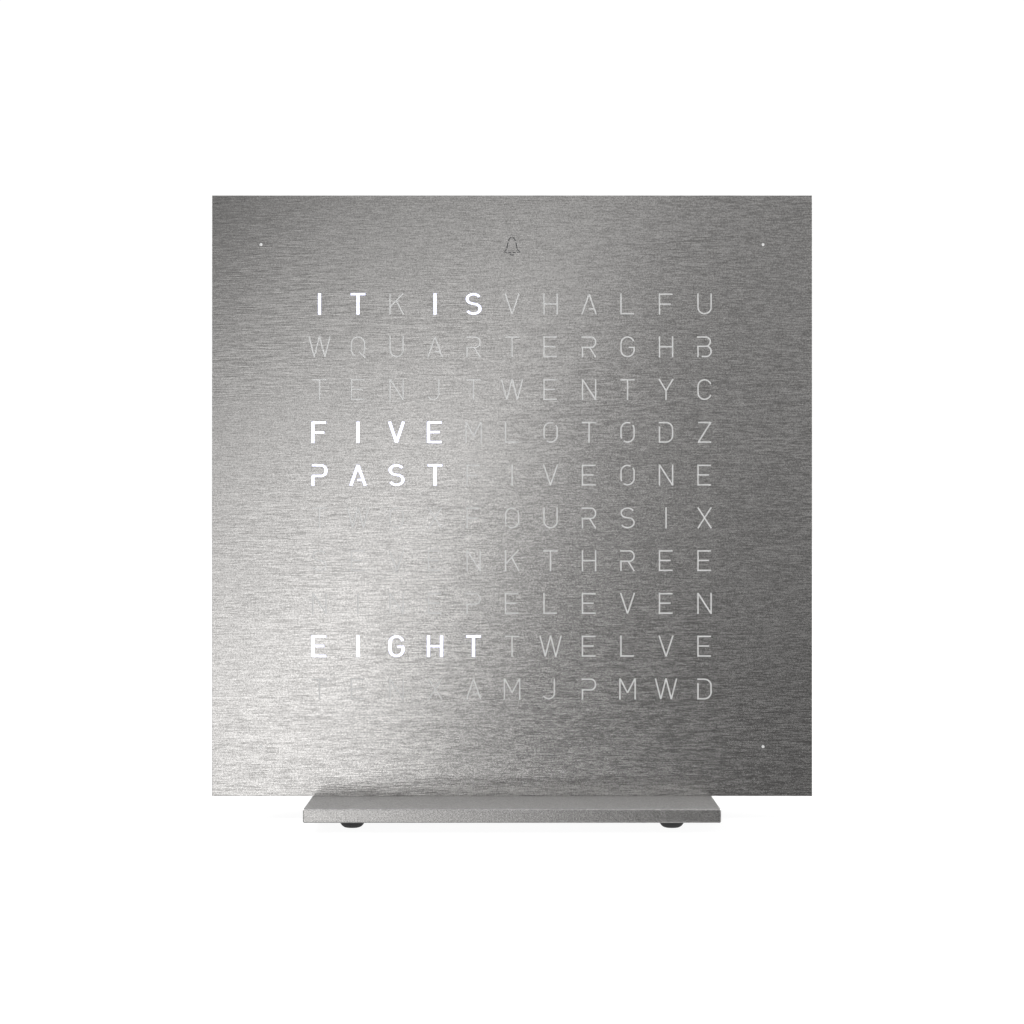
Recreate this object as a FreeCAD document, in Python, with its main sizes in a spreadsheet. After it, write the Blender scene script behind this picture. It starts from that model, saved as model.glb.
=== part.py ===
# A square table clock that tells the time in lit words. A steel cover stands on a flat metal foot plate.
# Behind the cover lie a diffuser, a light guide with one chamber for each letter, a board of lamps and a
# shallow housing. The frame: X to the right, Y from the face to the back, Z up, origin under the middle of
# the foot plate, where the rubber feet touch the table. All sizes are in millimetres.
import FreeCAD, Part
import os
import sys

import Sketcher

Vector = FreeCAD.Vector

# Driving sizes, each written once. The sheet called Sizes holds them under these names.
SIZES = {
    # The clock as a whole and its steel cover
    "cover_side": 135.0,
    "cover_thickness": 2.0,
    "cover_edge_break": 0.2,
    "clock_depth": 18.0,
    "dot_inset": 11.05,
    "dot_diameter": 0.7,
    # Grid of letters
    "columns": 11,
    "rows": 10,
    "grid_inset": 24.2,
    # Diffuser, and the steel discs that hold the cover to the magnets
    "diffuser_inset": 6.5,
    "diffuser_thickness": 0.8,
    "disc_diameter": 8.0,
    "disc_thickness": 0.9,
    "disc_hole_margin": 0.3,
    "magnet_inset": 7.0,
    "magnet_rise": 38.0,
    "magnet_length": 3.0,
    "magnet_gap": 0.2,
    "magnet_fit": 0.05,
    # Light guide
    "guide_depth": 5.0,
    "guide_gap": 0.2,
    "guide_fit": 0.5,
    "guide_web": 1.2,
    "dot_tube_diameter": 3.2,
    "bell_window": 6.4,
    # Lamp board and its lamps
    "board_thickness": 1.6,
    "lamp_width": 3.5,
    "lamp_height": 2.8,
    "lamp_depth": 1.4,
    "dot_lamp_width": 2.0,
    "dot_lamp_height": 1.25,
    "dot_lamp_depth": 0.8,
    # Spring finger that feels a touch on the cover
    "touch_across": 15.0,
    "touch_drop": 8.5,
    "touch_width": 3.0,
    "touch_length": 5.0,
    "touch_strip": 0.2,
    "touch_gap": 0.05,
    "touch_slot_margin": 1.0,
    # Housing frame and rear cover
    "housing_inset": 3.0,
    "housing_wall": 2.0,
    "housing_corner": 2.5,
    "rear_thickness": 2.0,
    "rear_edge_break": 0.4,
    "post_side": 7.0,
    "side_post_height": 9.0,
    "side_post_inset": 24.5,
    # Small screws, for the light guide and for the rear cover
    "screw_diameter": 2.5,
    "screw_head_diameter": 4.6,
    "screw_head_height": 1.2,
    "screw_length": 10.0,
    "rear_screw_length": 6.0,
    "screw_clearance": 0.15,
    "thread_clearance": 0.03,
    # Push buttons and their switches
    "button_diameter": 5.0,
    "button_proud": 0.8,
    "button_gap": 0.15,
    "button_dish": 0.15,
    "button_travel": 0.5,
    "button_spacing": 11.0,
    "button_inset": 12.5,
    "button_rise": 34.5,
    "flange_diameter": 7.0,
    "flange_thickness": 0.8,
    "switch_side": 6.0,
    "switch_depth": 3.5,
    "plunger_diameter": 3.5,
    "plunger_entry": 0.4,
    "plunger_gap": 0.1,
    "button_field_margin": 2.0,
    "button_field_depth": 0.4,
    # Power socket
    "socket_rise": 16.5,
    "socket_width": 9.0,
    "socket_height": 3.3,
    "socket_corner": 1.5,
    "socket_wall": 0.3,
    "socket_floor": 1.2,
    "tongue_width": 6.7,
    "tongue_thickness": 0.7,
    "tongue_setback": 1.0,
    "plug_window_width": 13.0,
    "plug_window_height": 7.2,
    "plug_window_corner": 3.0,
    # Sounder for the alarm, and its holes
    "sounder_inset": 32.5,
    "sounder_diameter": 12.0,
    "sounder_height": 3.2,
    "sounder_port": 2.0,
    "sound_hole_diameter": 1.4,
    "sound_hole_circle": 7.0,
    "sound_holes_round": 6,
    # Backup cell in its holder
    "cell_inset": 30.5,
    "cell_drop": 34.5,
    "cell_diameter": 20.0,
    "cell_thickness": 3.2,
    "cell_gap": 0.15,
    "holder_wall": 1.0,
    "holder_floor": 0.8,
    "clip_width": 5.0,
    "clip_strip": 0.3,
    # Other parts on the back of the board
    "chip_side": 12.0,
    "chip_height": 1.5,
    "chip_up": 18.0,
    "driver_width": 10.3,
    "driver_height": 7.5,
    "driver_depth": 2.3,
    "driver_spacing": 26.0,
    "driver_up": -2.0,
    "crystal_width": 11.0,
    "crystal_height": 4.6,
    "crystal_depth": 3.2,
    "crystal_up": 34.0,
    "capacitor_diameter": 6.3,
    "capacitor_height": 5.4,
    "capacitor_across": -20.0,
    "capacitor_rise": 18.5,
    # Foot plate, its spacer, screws and rubber feet
    "base_width": 90.0,
    "base_depth": 66.0,
    "base_thickness": 3.0,
    "base_edge_break": 0.25,
    "cover_base_gap": 0.1,
    "foot_height": 2.2,
    "foot_diameter": 5.8,
    "foot_shoulder": 1.4,
    "foot_inset": 10.0,
    "spacer_width": 80.0,
    "spacer_setback": 0.5,
    "spacer_corner": 2.0,
    "stand_screw_spacing": 60.0,
    "stand_screw_diameter": 3.0,
    "stand_head_diameter": 6.0,
    "stand_head_height": 1.7,
    "stand_screw_clearance": 0.2,
    "insert_diameter": 4.2,
    "insert_length": 5.0,
    "insert_bore_margin": 1.0,
    "insert_roof": 1.0,
    "insert_block_width": 9.0,
    "insert_block_gap": 0.2,
}

# Places worked out from the sizes. Depths run from the face to the back, heights from the table.
PLACES = {
    "face_y": "-Sizes.clock_depth / 2",
    "cover_back_y": "Places.face_y + Sizes.cover_thickness",
    "guide_front_y": "Places.cover_back_y + Sizes.diffuser_thickness + Sizes.guide_gap",
    "board_front_y": "Places.guide_front_y + Sizes.guide_depth",
    "board_back_y": "Places.board_front_y + Sizes.board_thickness",
    "rear_y": "Sizes.clock_depth / 2",
    "rear_inner_y": "Places.rear_y - Sizes.rear_thickness",
    "base_top": "Sizes.foot_height + Sizes.base_thickness",
    "cover_bottom": "Places.base_top + Sizes.cover_base_gap",
    "centre": "Places.cover_bottom + Sizes.cover_side / 2",
    "housing_side": "Sizes.cover_side - 2 * Sizes.housing_inset",
    "inner_side": "Places.housing_side - 2 * Sizes.housing_wall",
    "board_side": "Places.inner_side - 2 * Sizes.guide_fit",
    "housing_bottom": "Places.centre - Places.housing_side / 2",
    "inner_reach": "Places.inner_side / 2",
    "dot_spacing": "Sizes.cover_side - 2 * Sizes.dot_inset",
    "grid_side": "Sizes.cover_side - 2 * Sizes.grid_inset",
    "cell_width": "Places.grid_side / (Sizes.columns - 1) - Sizes.guide_web",
    "cell_height": "Places.grid_side / (Sizes.rows - 1) - Sizes.guide_web",
    "magnet_spacing_across": "Places.board_side - 2 * Sizes.magnet_inset",
    "magnet_spacing_up": "Places.board_side - 2 * Sizes.magnet_rise",
    "touch_up": "Places.inner_reach - Sizes.touch_drop",
    "side_post_up": "Places.inner_reach - Sizes.side_post_inset",
    "post_middle": "Places.inner_reach - Sizes.post_side / 2",
    "thread_bore": "Sizes.screw_diameter + 2 * Sizes.thread_clearance",
    "screw_passage": "Sizes.screw_diameter + 2 * Sizes.screw_clearance",
    "disc_hole": "Sizes.disc_diameter + 2 * Sizes.disc_hole_margin",
    "magnet_pocket": "Sizes.disc_diameter + 2 * Sizes.magnet_fit",
    "magnet_front_y": "Places.cover_back_y + Sizes.disc_thickness + Sizes.magnet_gap",
    "flange_back_y": "Places.rear_inner_y",
    "flange_front_y": "Places.rear_inner_y - Sizes.flange_thickness",
    "switch_back_y": "Places.board_back_y + Sizes.switch_depth",
    "plunger_front_y": "Places.switch_back_y - Sizes.plunger_entry",
    "plunger_well": "Sizes.plunger_entry + Sizes.button_travel + Sizes.plunger_gap",
    "button_back_y": "Places.rear_y + Sizes.button_proud",
    "button_row": "3 * Sizes.button_spacing",
    "button_first_across": "Places.inner_reach - Sizes.button_inset - Places.button_row",
    "button_up": "Sizes.button_rise - Places.inner_reach",
    "socket_up": "Sizes.socket_rise - Places.inner_reach",
    "sounder_across": "Places.inner_reach - Sizes.sounder_inset",
    "sounder_up": "Places.inner_reach - Sizes.sounder_inset",
    "cell_across": "Sizes.cell_inset - Places.inner_reach",
    "cell_up": "Places.inner_reach - Sizes.cell_drop",
    "capacitor_up": "Sizes.capacitor_rise - Places.inner_reach",
    "insert_bore_depth": "Sizes.insert_length + Sizes.insert_bore_margin",
    "insert_block_height": "Places.insert_bore_depth + Sizes.insert_roof - Sizes.housing_wall",
    "stand_screw_y": "(Places.board_back_y + Places.rear_inner_y + Sizes.insert_block_gap) / 2",
    "stand_passage": "Sizes.stand_screw_diameter + 2 * Sizes.stand_screw_clearance",
    "spacer_front_y": "Places.cover_back_y + Sizes.spacer_setback",
    "holder_diameter": "Sizes.cell_diameter + 2 * Sizes.cell_gap + 2 * Sizes.holder_wall",
    "cell_back_y": "Places.board_back_y + Sizes.holder_floor + Sizes.cell_thickness",
}

BUTTONS = ("hour", "minute", "alarm", "mode")

# Two points nearer than this, in millimetres, are the same point.
NEAR = 1e-6

doc = FreeCAD.newDocument("WordClock")


def fill_sheet(name, entries, prefix=""):
    """Writes one named cell for each entry."""
    sheet = doc.addObject("Spreadsheet::Sheet", name)
    for row, (alias, entry) in enumerate(entries.items(), 1):
        sheet.set(f"A{row}", prefix + str(entry).replace(name + ".", ""))
        sheet.setAlias(f"A{row}", alias)
    doc.recompute()
    return sheet


sizes = fill_sheet("Sizes", SIZES)
places = fill_sheet("Places", PLACES, "=")


def value(formula):
    """The present amount of a formula, used to draw a sketch near its final shape."""
    return float(sizes.evalExpression(formula))


# Helpers for bodies and sketches. A sketch on the XZ plane looks from the face, one on XY from above.


def new_body(label, height="Places.centre"):
    """A body whose own origin stands at a height above the table."""
    body = doc.addObject("PartDesign::Body", label)
    body.setExpression("Placement.Base.z", height)
    return body


def origin_part(body, role):
    return next(f for f in body.Origin.OriginFeatures if f.Role == role)


def new_sketch(body, name, plane, offset):
    """A sketch on an origin plane of its body, moved along the plane's normal by a formula."""
    sketch = body.newObject("Sketcher::SketchObject", name)
    sketch.AttachmentSupport = (origin_part(body, plane), [""])
    sketch.MapMode = "FlatFace"
    sketch.setExpression("AttachmentOffset.Base.z", offset)
    return sketch


def face_sketch(body, name, depth):
    """A sketch seen from the face, at a depth. The plane's normal points to the viewer."""
    return new_sketch(body, name, "XZ_Plane", f"-({depth})")


def tie_point(sketch, geometry, point, across, up):
    """Binds one point of the sketch to two formulas, measured from the sketch's origin."""
    for kind, formula, axis in (("DistanceX", across, -2), ("DistanceY", up, -1)):
        amount = value(formula)
        if abs(amount) < NEAR:
            sketch.addConstraint(Sketcher.Constraint("PointOnObject", geometry, point, axis))
            continue
        index = sketch.addConstraint(Sketcher.Constraint(kind, -1, 1, geometry, point, amount))
        sketch.setExpression(f"Constraints[{index}]", formula)


def add_outline(sketch, points):
    """A closed outline of straight lines through points given as pairs of formulas."""
    first = sketch.GeometryCount
    corners = [Vector(value(across), value(up), 0) for across, up in points]
    for here, there in zip(corners, corners[1:] + corners[:1]):
        sketch.addGeometry(Part.LineSegment(here, there), False)
    for i, (across, up) in enumerate(points):
        following = first + (i + 1) % len(points)
        sketch.addConstraint(Sketcher.Constraint("Coincident", first + i, 2, following, 1))
        tie_point(sketch, first + i, 1, across, up)


def add_rectangle(sketch, width, height, across="0", up="0"):
    left, right = f"({across}) - ({width}) / 2", f"({across}) + ({width}) / 2"
    low, high = f"({up}) - ({height}) / 2", f"({up}) + ({height}) / 2"
    add_outline(sketch, [(left, low), (right, low), (right, high), (left, high)])


def add_circle(sketch, diameter, across="0", up="0"):
    centre = Vector(value(across), value(up), 0)
    circle = sketch.addGeometry(Part.Circle(centre, Vector(0, 0, 1), value(diameter) / 2), False)
    index = sketch.addConstraint(Sketcher.Constraint("Diameter", circle, value(diameter)))
    sketch.setExpression(f"Constraints[{index}]", diameter)
    tie_point(sketch, circle, 3, across, up)


def add_feature(body, kind, name, sketch, length=None, backwards=False):
    """A pad or pocket of a sketch. With no length, a pocket goes through everything."""
    feature = body.newObject("PartDesign::" + kind, name)
    feature.Profile = sketch
    feature.Reversed = backwards
    if length is None:
        feature.Type = 1
    else:
        feature.setExpression("Length", length)
    return feature


def pad_back(body, name, draw, depth, length):
    """Draws a shape seen from the face and grows it towards the back, from a depth."""
    sketch = face_sketch(body, name + "_sketch", depth)
    draw(sketch)
    return add_feature(body, "Pad", name, sketch, length, backwards=True)


def cut_back(body, name, draw, depth, length=None):
    """Draws a shape seen from the face and cuts it towards the back, from a depth."""
    sketch = face_sketch(body, name + "_sketch", depth)
    draw(sketch)
    return add_feature(body, "Pocket", name, sketch, length)


def turn(body, name, outline, plane, offset, axis_at, cut=False):
    """Turns an outline a full round about a line of its own sketch. The line runs along the sketch's
    first direction at axis_at in the YZ plane, and along its second in the XZ plane."""
    sketch = new_sketch(body, name + "_sketch", plane, offset)
    add_outline(sketch, outline)
    along = [value(p[0] if plane == "YZ_Plane" else p[1]) for p in outline]
    ends = [Vector(a, value(axis_at), 0) for a in (min(along), max(along))]
    if plane == "XZ_Plane":
        ends = [Vector(v.y, v.x, 0) for v in ends]
    line = sketch.addGeometry(Part.LineSegment(*ends), True)
    direction = "Horizontal" if plane == "YZ_Plane" else "Vertical"
    sketch.addConstraint(Sketcher.Constraint(direction, line))
    if plane == "YZ_Plane":
        tie_point(sketch, line, 1, str(ends[0].x), axis_at)
    else:
        tie_point(sketch, line, 1, axis_at, str(ends[0].y))
    feature = body.newObject("PartDesign::" + ("Groove" if cut else "Revolution"), name)
    feature.Profile = sketch
    feature.ReferenceAxis = (sketch, ["Axis0"])
    feature.Angle = 360
    return feature


def repeat(body, name, feature, across=None, up=None, plane="Z_Axis"):
    """Repeats a feature in rows: across and up are pairs of a count and the length of the row."""
    pattern = body.newObject("PartDesign::LinearPattern", name)
    pattern.Originals = [feature]
    count, length = across
    pattern.Direction = (origin_part(body, "X_Axis"), [""])
    pattern.setExpression("Occurrences", count)
    pattern.setExpression("Length", length)
    if up:
        count, length = up
        pattern.Direction2 = (origin_part(body, plane), [""])
        pattern.setExpression("Occurrences2", count)
        pattern.setExpression("Length2", length)
    body.Tip = pattern
    return pattern


def dress(body, kind, name, base, amount, pick):
    """Rounds or chamfers the edges of base that pick chooses."""
    doc.recompute()
    edges = [f"Edge{i}" for i, edge in enumerate(base.Shape.Edges, 1) if pick(edge)]
    feature = body.newObject("PartDesign::" + kind, name)
    feature.Base = (base, edges)
    feature.setExpression("Radius" if kind == "Fillet" else "Size", amount)
    return feature


def runs_along(direction):
    """Chooses straight edges that run along a direction."""
    def pick(edge):
        straight = isinstance(edge.Curve, Part.Line)
        return straight and edge.Curve.Direction.cross(direction).Length < NEAR
    return pick


def runs_along_at(direction, reach):
    """Chooses straight edges along a direction that lie at a reach to the left or right of the middle."""
    along = runs_along(direction)
    return lambda edge: along(edge) and abs(abs(edge.Vertexes[0].X) - value(reach)) < NEAR


def straight_at(depth):
    """Chooses straight edges that lie whole at a depth, such as the rim of a face."""
    def pick(edge):
        straight = isinstance(edge.Curve, Part.Line)
        return straight and all(abs(v.Y - value(depth)) < NEAR for v in edge.Vertexes)
    return pick


def add_magnet_circle(sketch, diameter):
    """A circle in the lower left one of the four magnet places."""
    add_circle(sketch, diameter, "-Places.magnet_spacing_across / 2", "-Places.magnet_spacing_up / 2")


def add_dot_circle(sketch, diameter):
    """A circle in the lower left one of the four dots."""
    add_circle(sketch, diameter, "-Places.dot_spacing / 2", "-Places.dot_spacing / 2")


def draw_finger_slot(sketch):
    """The slot that the spring finger passes through."""
    add_rectangle(sketch, "Sizes.touch_width + 2 * Sizes.touch_slot_margin",
                  "Sizes.touch_length + 2 * Sizes.touch_slot_margin", "Sizes.touch_across", "Places.touch_up")


ALONG_DEPTH = Vector(0, 1, 0)
PAIR = "2"
GRID_ROWS = (("Sizes.columns", "Places.grid_side"), ("Sizes.rows", "Places.grid_side"))
DOT_ROW = (PAIR, "Places.dot_spacing")
MAGNET_ROWS = ((PAIR, "Places.magnet_spacing_across"), (PAIR, "Places.magnet_spacing_up"))


# The steel cover, with a drilled dot near each corner for the odd minutes.
def make_front_cover():
    body = new_body("front_cover")
    plate = pad_back(body, "plate", lambda s: add_rectangle(s, "Sizes.cover_side", "Sizes.cover_side"),
                     "Places.face_y", "Sizes.cover_thickness")
    dress(body, "Chamfer", "face_rim", plate, "Sizes.cover_edge_break", straight_at("Places.face_y"))
    dot = cut_back(body, "dot", lambda s: add_dot_circle(s, "Sizes.dot_diameter"), "Places.face_y")
    repeat(body, "dots", dot, DOT_ROW, DOT_ROW)
    return body


# The opal sheet bonded to the back of the cover, with holes for the steel discs and the spring finger.
def make_diffuser_sheet():
    body = new_body("diffuser_sheet")
    side = "(Sizes.cover_side - 2 * Sizes.diffuser_inset)"
    pad_back(body, "sheet", lambda s: add_rectangle(s, side, side), "Places.cover_back_y",
             "Sizes.diffuser_thickness")
    hole = cut_back(body, "disc_hole", lambda s: add_magnet_circle(s, "Places.disc_hole"),
                    "Places.cover_back_y")
    repeat(body, "disc_holes", hole, *MAGNET_ROWS)
    cut_back(body, "finger_slot", draw_finger_slot, "Places.cover_back_y")
    return body


# Round pieces that sit in the four magnet places: discs on the cover, magnets in the guide.
def make_round_set(label, diameter, depth, length):
    body = new_body(label)
    first = pad_back(body, "first", lambda s: add_magnet_circle(s, diameter), depth, length)
    repeat(body, "set", first, *MAGNET_ROWS)
    return body


# The light guide: a moulded grille with one open chamber behind each letter, a narrow tube behind each
# dot and a window behind the bell sign. Its webs keep the light of one letter out of the next.
def make_light_guide():
    body = new_body("light_guide")
    front = "Places.guide_front_y"
    pad_back(body, "block", lambda s: add_rectangle(s, "Places.board_side", "Places.board_side"), front,
             "Sizes.guide_depth")
    cut_back(body, "bell_window", lambda s: add_rectangle(s, "Sizes.bell_window", "Sizes.bell_window", "0",
                                                          "Places.dot_spacing / 2"), front)
    cut_back(body, "finger_slot", draw_finger_slot, front)
    tube = cut_back(body, "dot_tube", lambda s: add_dot_circle(s, "Sizes.dot_tube_diameter"), front)
    repeat(body, "dot_tubes", tube, DOT_ROW, DOT_ROW)
    pocket = cut_back(body, "magnet_pocket", lambda s: add_magnet_circle(s, "Places.magnet_pocket"), front,
                      "Places.magnet_front_y + Sizes.magnet_length - Places.guide_front_y")
    repeat(body, "magnet_pockets", pocket, *MAGNET_ROWS)
    cut_screw_holes(body, "guide_screw_hole", front, "Places.board_front_y", "2 * Places.side_post_up")
    first = ("-Places.grid_side / 2", "-Places.grid_side / 2")
    chamber = cut_back(body, "chamber",
                       lambda s: add_rectangle(s, "Places.cell_width", "Places.cell_height", *first), front)
    repeat(body, "chambers", chamber, *GRID_ROWS)
    return body


def cut_screw_holes(body, name, head_y, end_y, spacing_up):
    """Four countersunk holes over the posts. The heads lie at head_y and the holes run to end_y."""
    sign = "-" if value(end_y) < value(head_y) else "+"
    middle_up = f"-({spacing_up}) / 2"
    wide = f"{middle_up} + Sizes.screw_head_diameter / 2 + Sizes.screw_clearance"
    narrow = f"{middle_up} + Places.screw_passage / 2"
    cone_end = f"{head_y} {sign} Sizes.screw_head_height"
    outline = [(head_y, middle_up), (head_y, wide), (cone_end, narrow), (end_y, narrow), (end_y, middle_up)]
    hole = turn(body, name, outline, "YZ_Plane", "-Places.post_middle", middle_up, cut=True)
    repeat(body, name + "s", hole, (PAIR, "2 * Places.post_middle"), (PAIR, spacing_up))


# Countersunk screws, two by two.
def make_screws(label, head_y, sign, length, spacing_up):
    body = new_body(label)
    middle_up = f"-({spacing_up}) / 2"
    head = f"{middle_up} + Sizes.screw_head_diameter / 2"
    shank = f"{middle_up} + Sizes.screw_diameter / 2"
    cone_end, tip = f"{head_y} {sign} Sizes.screw_head_height", f"{head_y} {sign} {length}"
    outline = [(head_y, middle_up), (head_y, head), (cone_end, shank), (tip, shank), (tip, middle_up)]
    screw = turn(body, "screw", outline, "YZ_Plane", "-Places.post_middle", middle_up)
    repeat(body, "screws", screw, (PAIR, "2 * Places.post_middle"), (PAIR, spacing_up))
    return body


# The lamp board, with a hole for each guide screw.
def make_led_board():
    body = new_body("led_board")
    pad_back(body, "board", lambda s: add_rectangle(s, "Places.board_side", "Places.board_side"),
             "Places.board_front_y", "Sizes.board_thickness")
    hole = cut_back(body, "screw_hole", lambda s: add_circle(s, "Places.screw_passage", "-Places.post_middle",
                                                             "-Places.side_post_up"), "Places.board_front_y")
    repeat(body, "screw_holes", hole, (PAIR, "2 * Places.post_middle"), (PAIR, "2 * Places.side_post_up"))
    return body


# Lamps soldered to the front of the board.
def make_lamps(label, width, height, depth, across, up, row=None, column=None):
    body = new_body(label)
    lamp = pad_back(body, "lamp", lambda s: add_rectangle(s, width, height, across, up),
                    f"Places.board_front_y - {depth}", depth)
    if row:
        repeat(body, "lamps", lamp, row, column)
    return body


# A C-shaped strip on the board whose front arm reaches the back of the cover.
def make_touch_spring():
    body = new_body("touch_spring")
    back, front = "Places.board_front_y", "Places.cover_back_y + Sizes.touch_gap"
    open_end = "Places.touch_up - Sizes.touch_length / 2"
    bend = "Places.touch_up + Sizes.touch_length / 2"
    strip = "Sizes.touch_strip"
    sketch = new_sketch(body, "strip_sketch", "YZ_Plane", "Sizes.touch_across - Sizes.touch_width / 2")
    add_outline(sketch, [(back, open_end), (back, bend), (front, bend), (front, open_end),
                         (f"{front} + {strip}", open_end), (f"{front} + {strip}", f"{bend} - {strip}"),
                         (f"{back} - {strip}", f"{bend} - {strip}"), (f"{back} - {strip}", open_end)])
    add_feature(body, "Pad", "strip", sketch, "Sizes.touch_width")
    return body


# The housing frame: four walls with corner posts for the rear screws, side posts for the guide screws
# and two blocks in the lower wall for the threaded inserts of the stand.
def make_housing_frame():
    body = new_body("housing_frame")
    front, back = "Places.cover_back_y", "Places.rear_inner_y"
    depth = f"({back}) - ({front})"
    block = pad_back(body, "block", lambda s: add_rectangle(s, "Places.housing_side", "Places.housing_side"),
                     front, depth)
    dress(body, "Fillet", "outer_corners", block, "Sizes.housing_corner", runs_along(ALONG_DEPTH))
    cut_back(body, "inside", lambda s: add_rectangle(s, "Places.inner_side", "Places.inner_side"), front)
    post_length = "Places.rear_inner_y - Places.board_back_y"
    reach = "Sizes.post_side + Sizes.housing_wall / 2"
    corner = "-(Places.inner_side / 2 + Sizes.housing_wall / 2 - (" + reach + ") / 2)"
    corner_post = pad_back(body, "corner_post", lambda s: add_rectangle(s, reach, reach, corner, corner),
                           "Places.board_back_y", post_length)
    repeat(body, "corner_posts", corner_post, (PAIR, f"-2 * ({corner})"), (PAIR, f"-2 * ({corner})"))
    side_post = pad_back(body, "side_post",
                         lambda s: add_rectangle(s, reach, "Sizes.side_post_height", corner,
                                                 "-Places.side_post_up"),
                         "Places.board_back_y", post_length)
    repeat(body, "side_posts", side_post, (PAIR, f"-2 * ({corner})"), (PAIR, "2 * Places.side_post_up"))
    block_reach = "Places.insert_block_height + Sizes.housing_wall / 2"
    block_up = "-(Places.inner_side / 2 + Sizes.housing_wall / 2 - (" + block_reach + ") / 2)"
    insert_block = pad_back(body, "insert_block",
                            lambda s: add_rectangle(s, "Sizes.insert_block_width", block_reach,
                                                    "-Sizes.stand_screw_spacing / 2", block_up),
                            "Places.board_back_y + Sizes.insert_block_gap",
                            post_length + " - Sizes.insert_block_gap")
    repeat(body, "insert_blocks", insert_block, (PAIR, "Sizes.stand_screw_spacing"))
    cut_post_bores(body, "corner_bore", "2 * Places.post_middle")
    cut_post_bores(body, "side_bore", "2 * Places.side_post_up")
    cut_insert_bores(body)
    return body


def cut_post_bores(body, name, spacing_up):
    """Screw bores through two by two posts."""
    bore = cut_back(body, name, lambda s: add_circle(s, "Places.thread_bore", "-Places.post_middle",
                                                     f"-({spacing_up}) / 2"), "Places.board_back_y")
    repeat(body, name + "s", bore, (PAIR, "2 * Places.post_middle"), (PAIR, spacing_up))


def cut_insert_bores(body):
    """Blind bores from below that hold the threaded inserts."""
    sketch = new_sketch(body, "insert_bore_sketch", "XY_Plane", "-Places.housing_side / 2")
    add_circle(sketch, "Sizes.insert_diameter + 2 * Sizes.thread_clearance", "-Sizes.stand_screw_spacing / 2",
               "Places.stand_screw_y")
    bore = add_feature(body, "Pocket", "insert_bore", sketch, "Places.insert_bore_depth", backwards=True)
    repeat(body, "insert_bores", bore, (PAIR, "Sizes.stand_screw_spacing"))


# Brass inserts in the lower wall, which take the stand screws.
def make_stand_inserts():
    body = new_body("stand_inserts", "Places.housing_bottom")
    sketch = new_sketch(body, "ring_sketch", "XY_Plane", "0")
    across = "-Sizes.stand_screw_spacing / 2"
    for diameter in ("Sizes.insert_diameter", "Sizes.stand_screw_diameter + 2 * Sizes.thread_clearance"):
        add_circle(sketch, diameter, across, "Places.stand_screw_y")
    ring = add_feature(body, "Pad", "ring", sketch, "Sizes.insert_length")
    repeat(body, "rings", ring, (PAIR, "Sizes.stand_screw_spacing"))
    return body


# The rear cover, with the power window, the button holes in a shallow field, the sound holes and four
# countersunk screw holes.
def make_rear_cover():
    body = new_body("rear_cover")
    inner, outer = "Places.rear_inner_y", "Places.rear_y"
    plate = pad_back(body, "plate", lambda s: add_rectangle(s, "Places.housing_side", "Places.housing_side"),
                     inner, "Sizes.rear_thickness")
    corners = dress(body, "Fillet", "outer_corners", plate, "Sizes.housing_corner", runs_along(ALONG_DEPTH))
    on_back = value(outer)
    dress(body, "Chamfer", "back_rim", corners, "Sizes.rear_edge_break",
          lambda edge: all(abs(v.Y - on_back) < NEAR for v in edge.Vertexes))
    window = cut_back(body, "plug_window",
                      lambda s: add_rectangle(s, "Sizes.plug_window_width", "Sizes.plug_window_height", "0",
                                              "Places.socket_up"), inner)
    half = value("Sizes.plug_window_width") / 2
    low = value("Places.socket_up - Sizes.plug_window_height / 2")
    high = value("Places.socket_up + Sizes.plug_window_height / 2")
    along = runs_along(ALONG_DEPTH)
    dress(body, "Fillet", "window_corners", window, "Sizes.plug_window_corner",
          lambda edge: along(edge) and abs(abs(edge.Vertexes[0].X) - half) < NEAR
          and low - NEAR < edge.Vertexes[0].Z < high + NEAR)
    field_height = "Sizes.flange_diameter + 2 * Sizes.button_field_margin"
    field_across = "Places.button_first_across + Places.button_row / 2"
    cut_back(body, "button_field",
             lambda s: add_rectangle(s, f"Places.button_row + {field_height}", field_height, field_across,
                                     "Places.button_up"), "Places.rear_y - Sizes.button_field_depth")
    hole = cut_back(body, "button_hole",
                    lambda s: add_circle(s, "Sizes.button_diameter + 2 * Sizes.button_gap",
                                         "Places.button_first_across", "Places.button_up"), inner)
    repeat(body, "button_holes", hole, (str(len(BUTTONS)), "Places.button_row"))
    cut_back(body, "sound_hole", lambda s: add_circle(s, "Sizes.sound_hole_diameter", "Places.sounder_across",
                                                      "Places.sounder_up"), inner)
    cut_back(body, "sound_ring", draw_sound_ring, inner)
    cut_screw_holes(body, "rear_screw_hole", outer, inner, "2 * Places.post_middle")
    return body


def draw_sound_ring(sketch):
    for i in range(int(value("Sizes.sound_holes_round"))):
        turn_by = f"360 * {i} / Sizes.sound_holes_round"
        across = f"Places.sounder_across + Sizes.sound_hole_circle / 2 * cos({turn_by})"
        up = f"Places.sounder_up + Sizes.sound_hole_circle / 2 * sin({turn_by})"
        add_circle(sketch, "Sizes.sound_hole_diameter", across, up)


# Switch bodies, one behind each button, each with a well that its plunger sinks into.
def make_switch_bodies():
    body = new_body("switch_bodies")
    first, up = "Places.button_first_across", "Places.button_up"
    side = "Sizes.switch_side"
    case = pad_back(body, "case", lambda s: add_rectangle(s, side, side, first, up), "Places.board_back_y",
                    "Sizes.switch_depth")
    row = (str(len(BUTTONS)), "Places.button_row")
    repeat(body, "cases", case, row)
    well = cut_back(body, "well", lambda s: add_circle(s, "Sizes.plunger_diameter + 2 * Sizes.plunger_gap",
                                                       first, up),
                    "Places.switch_back_y - Places.plunger_well", "Places.plunger_well")
    repeat(body, "wells", well, row)
    return body


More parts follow.
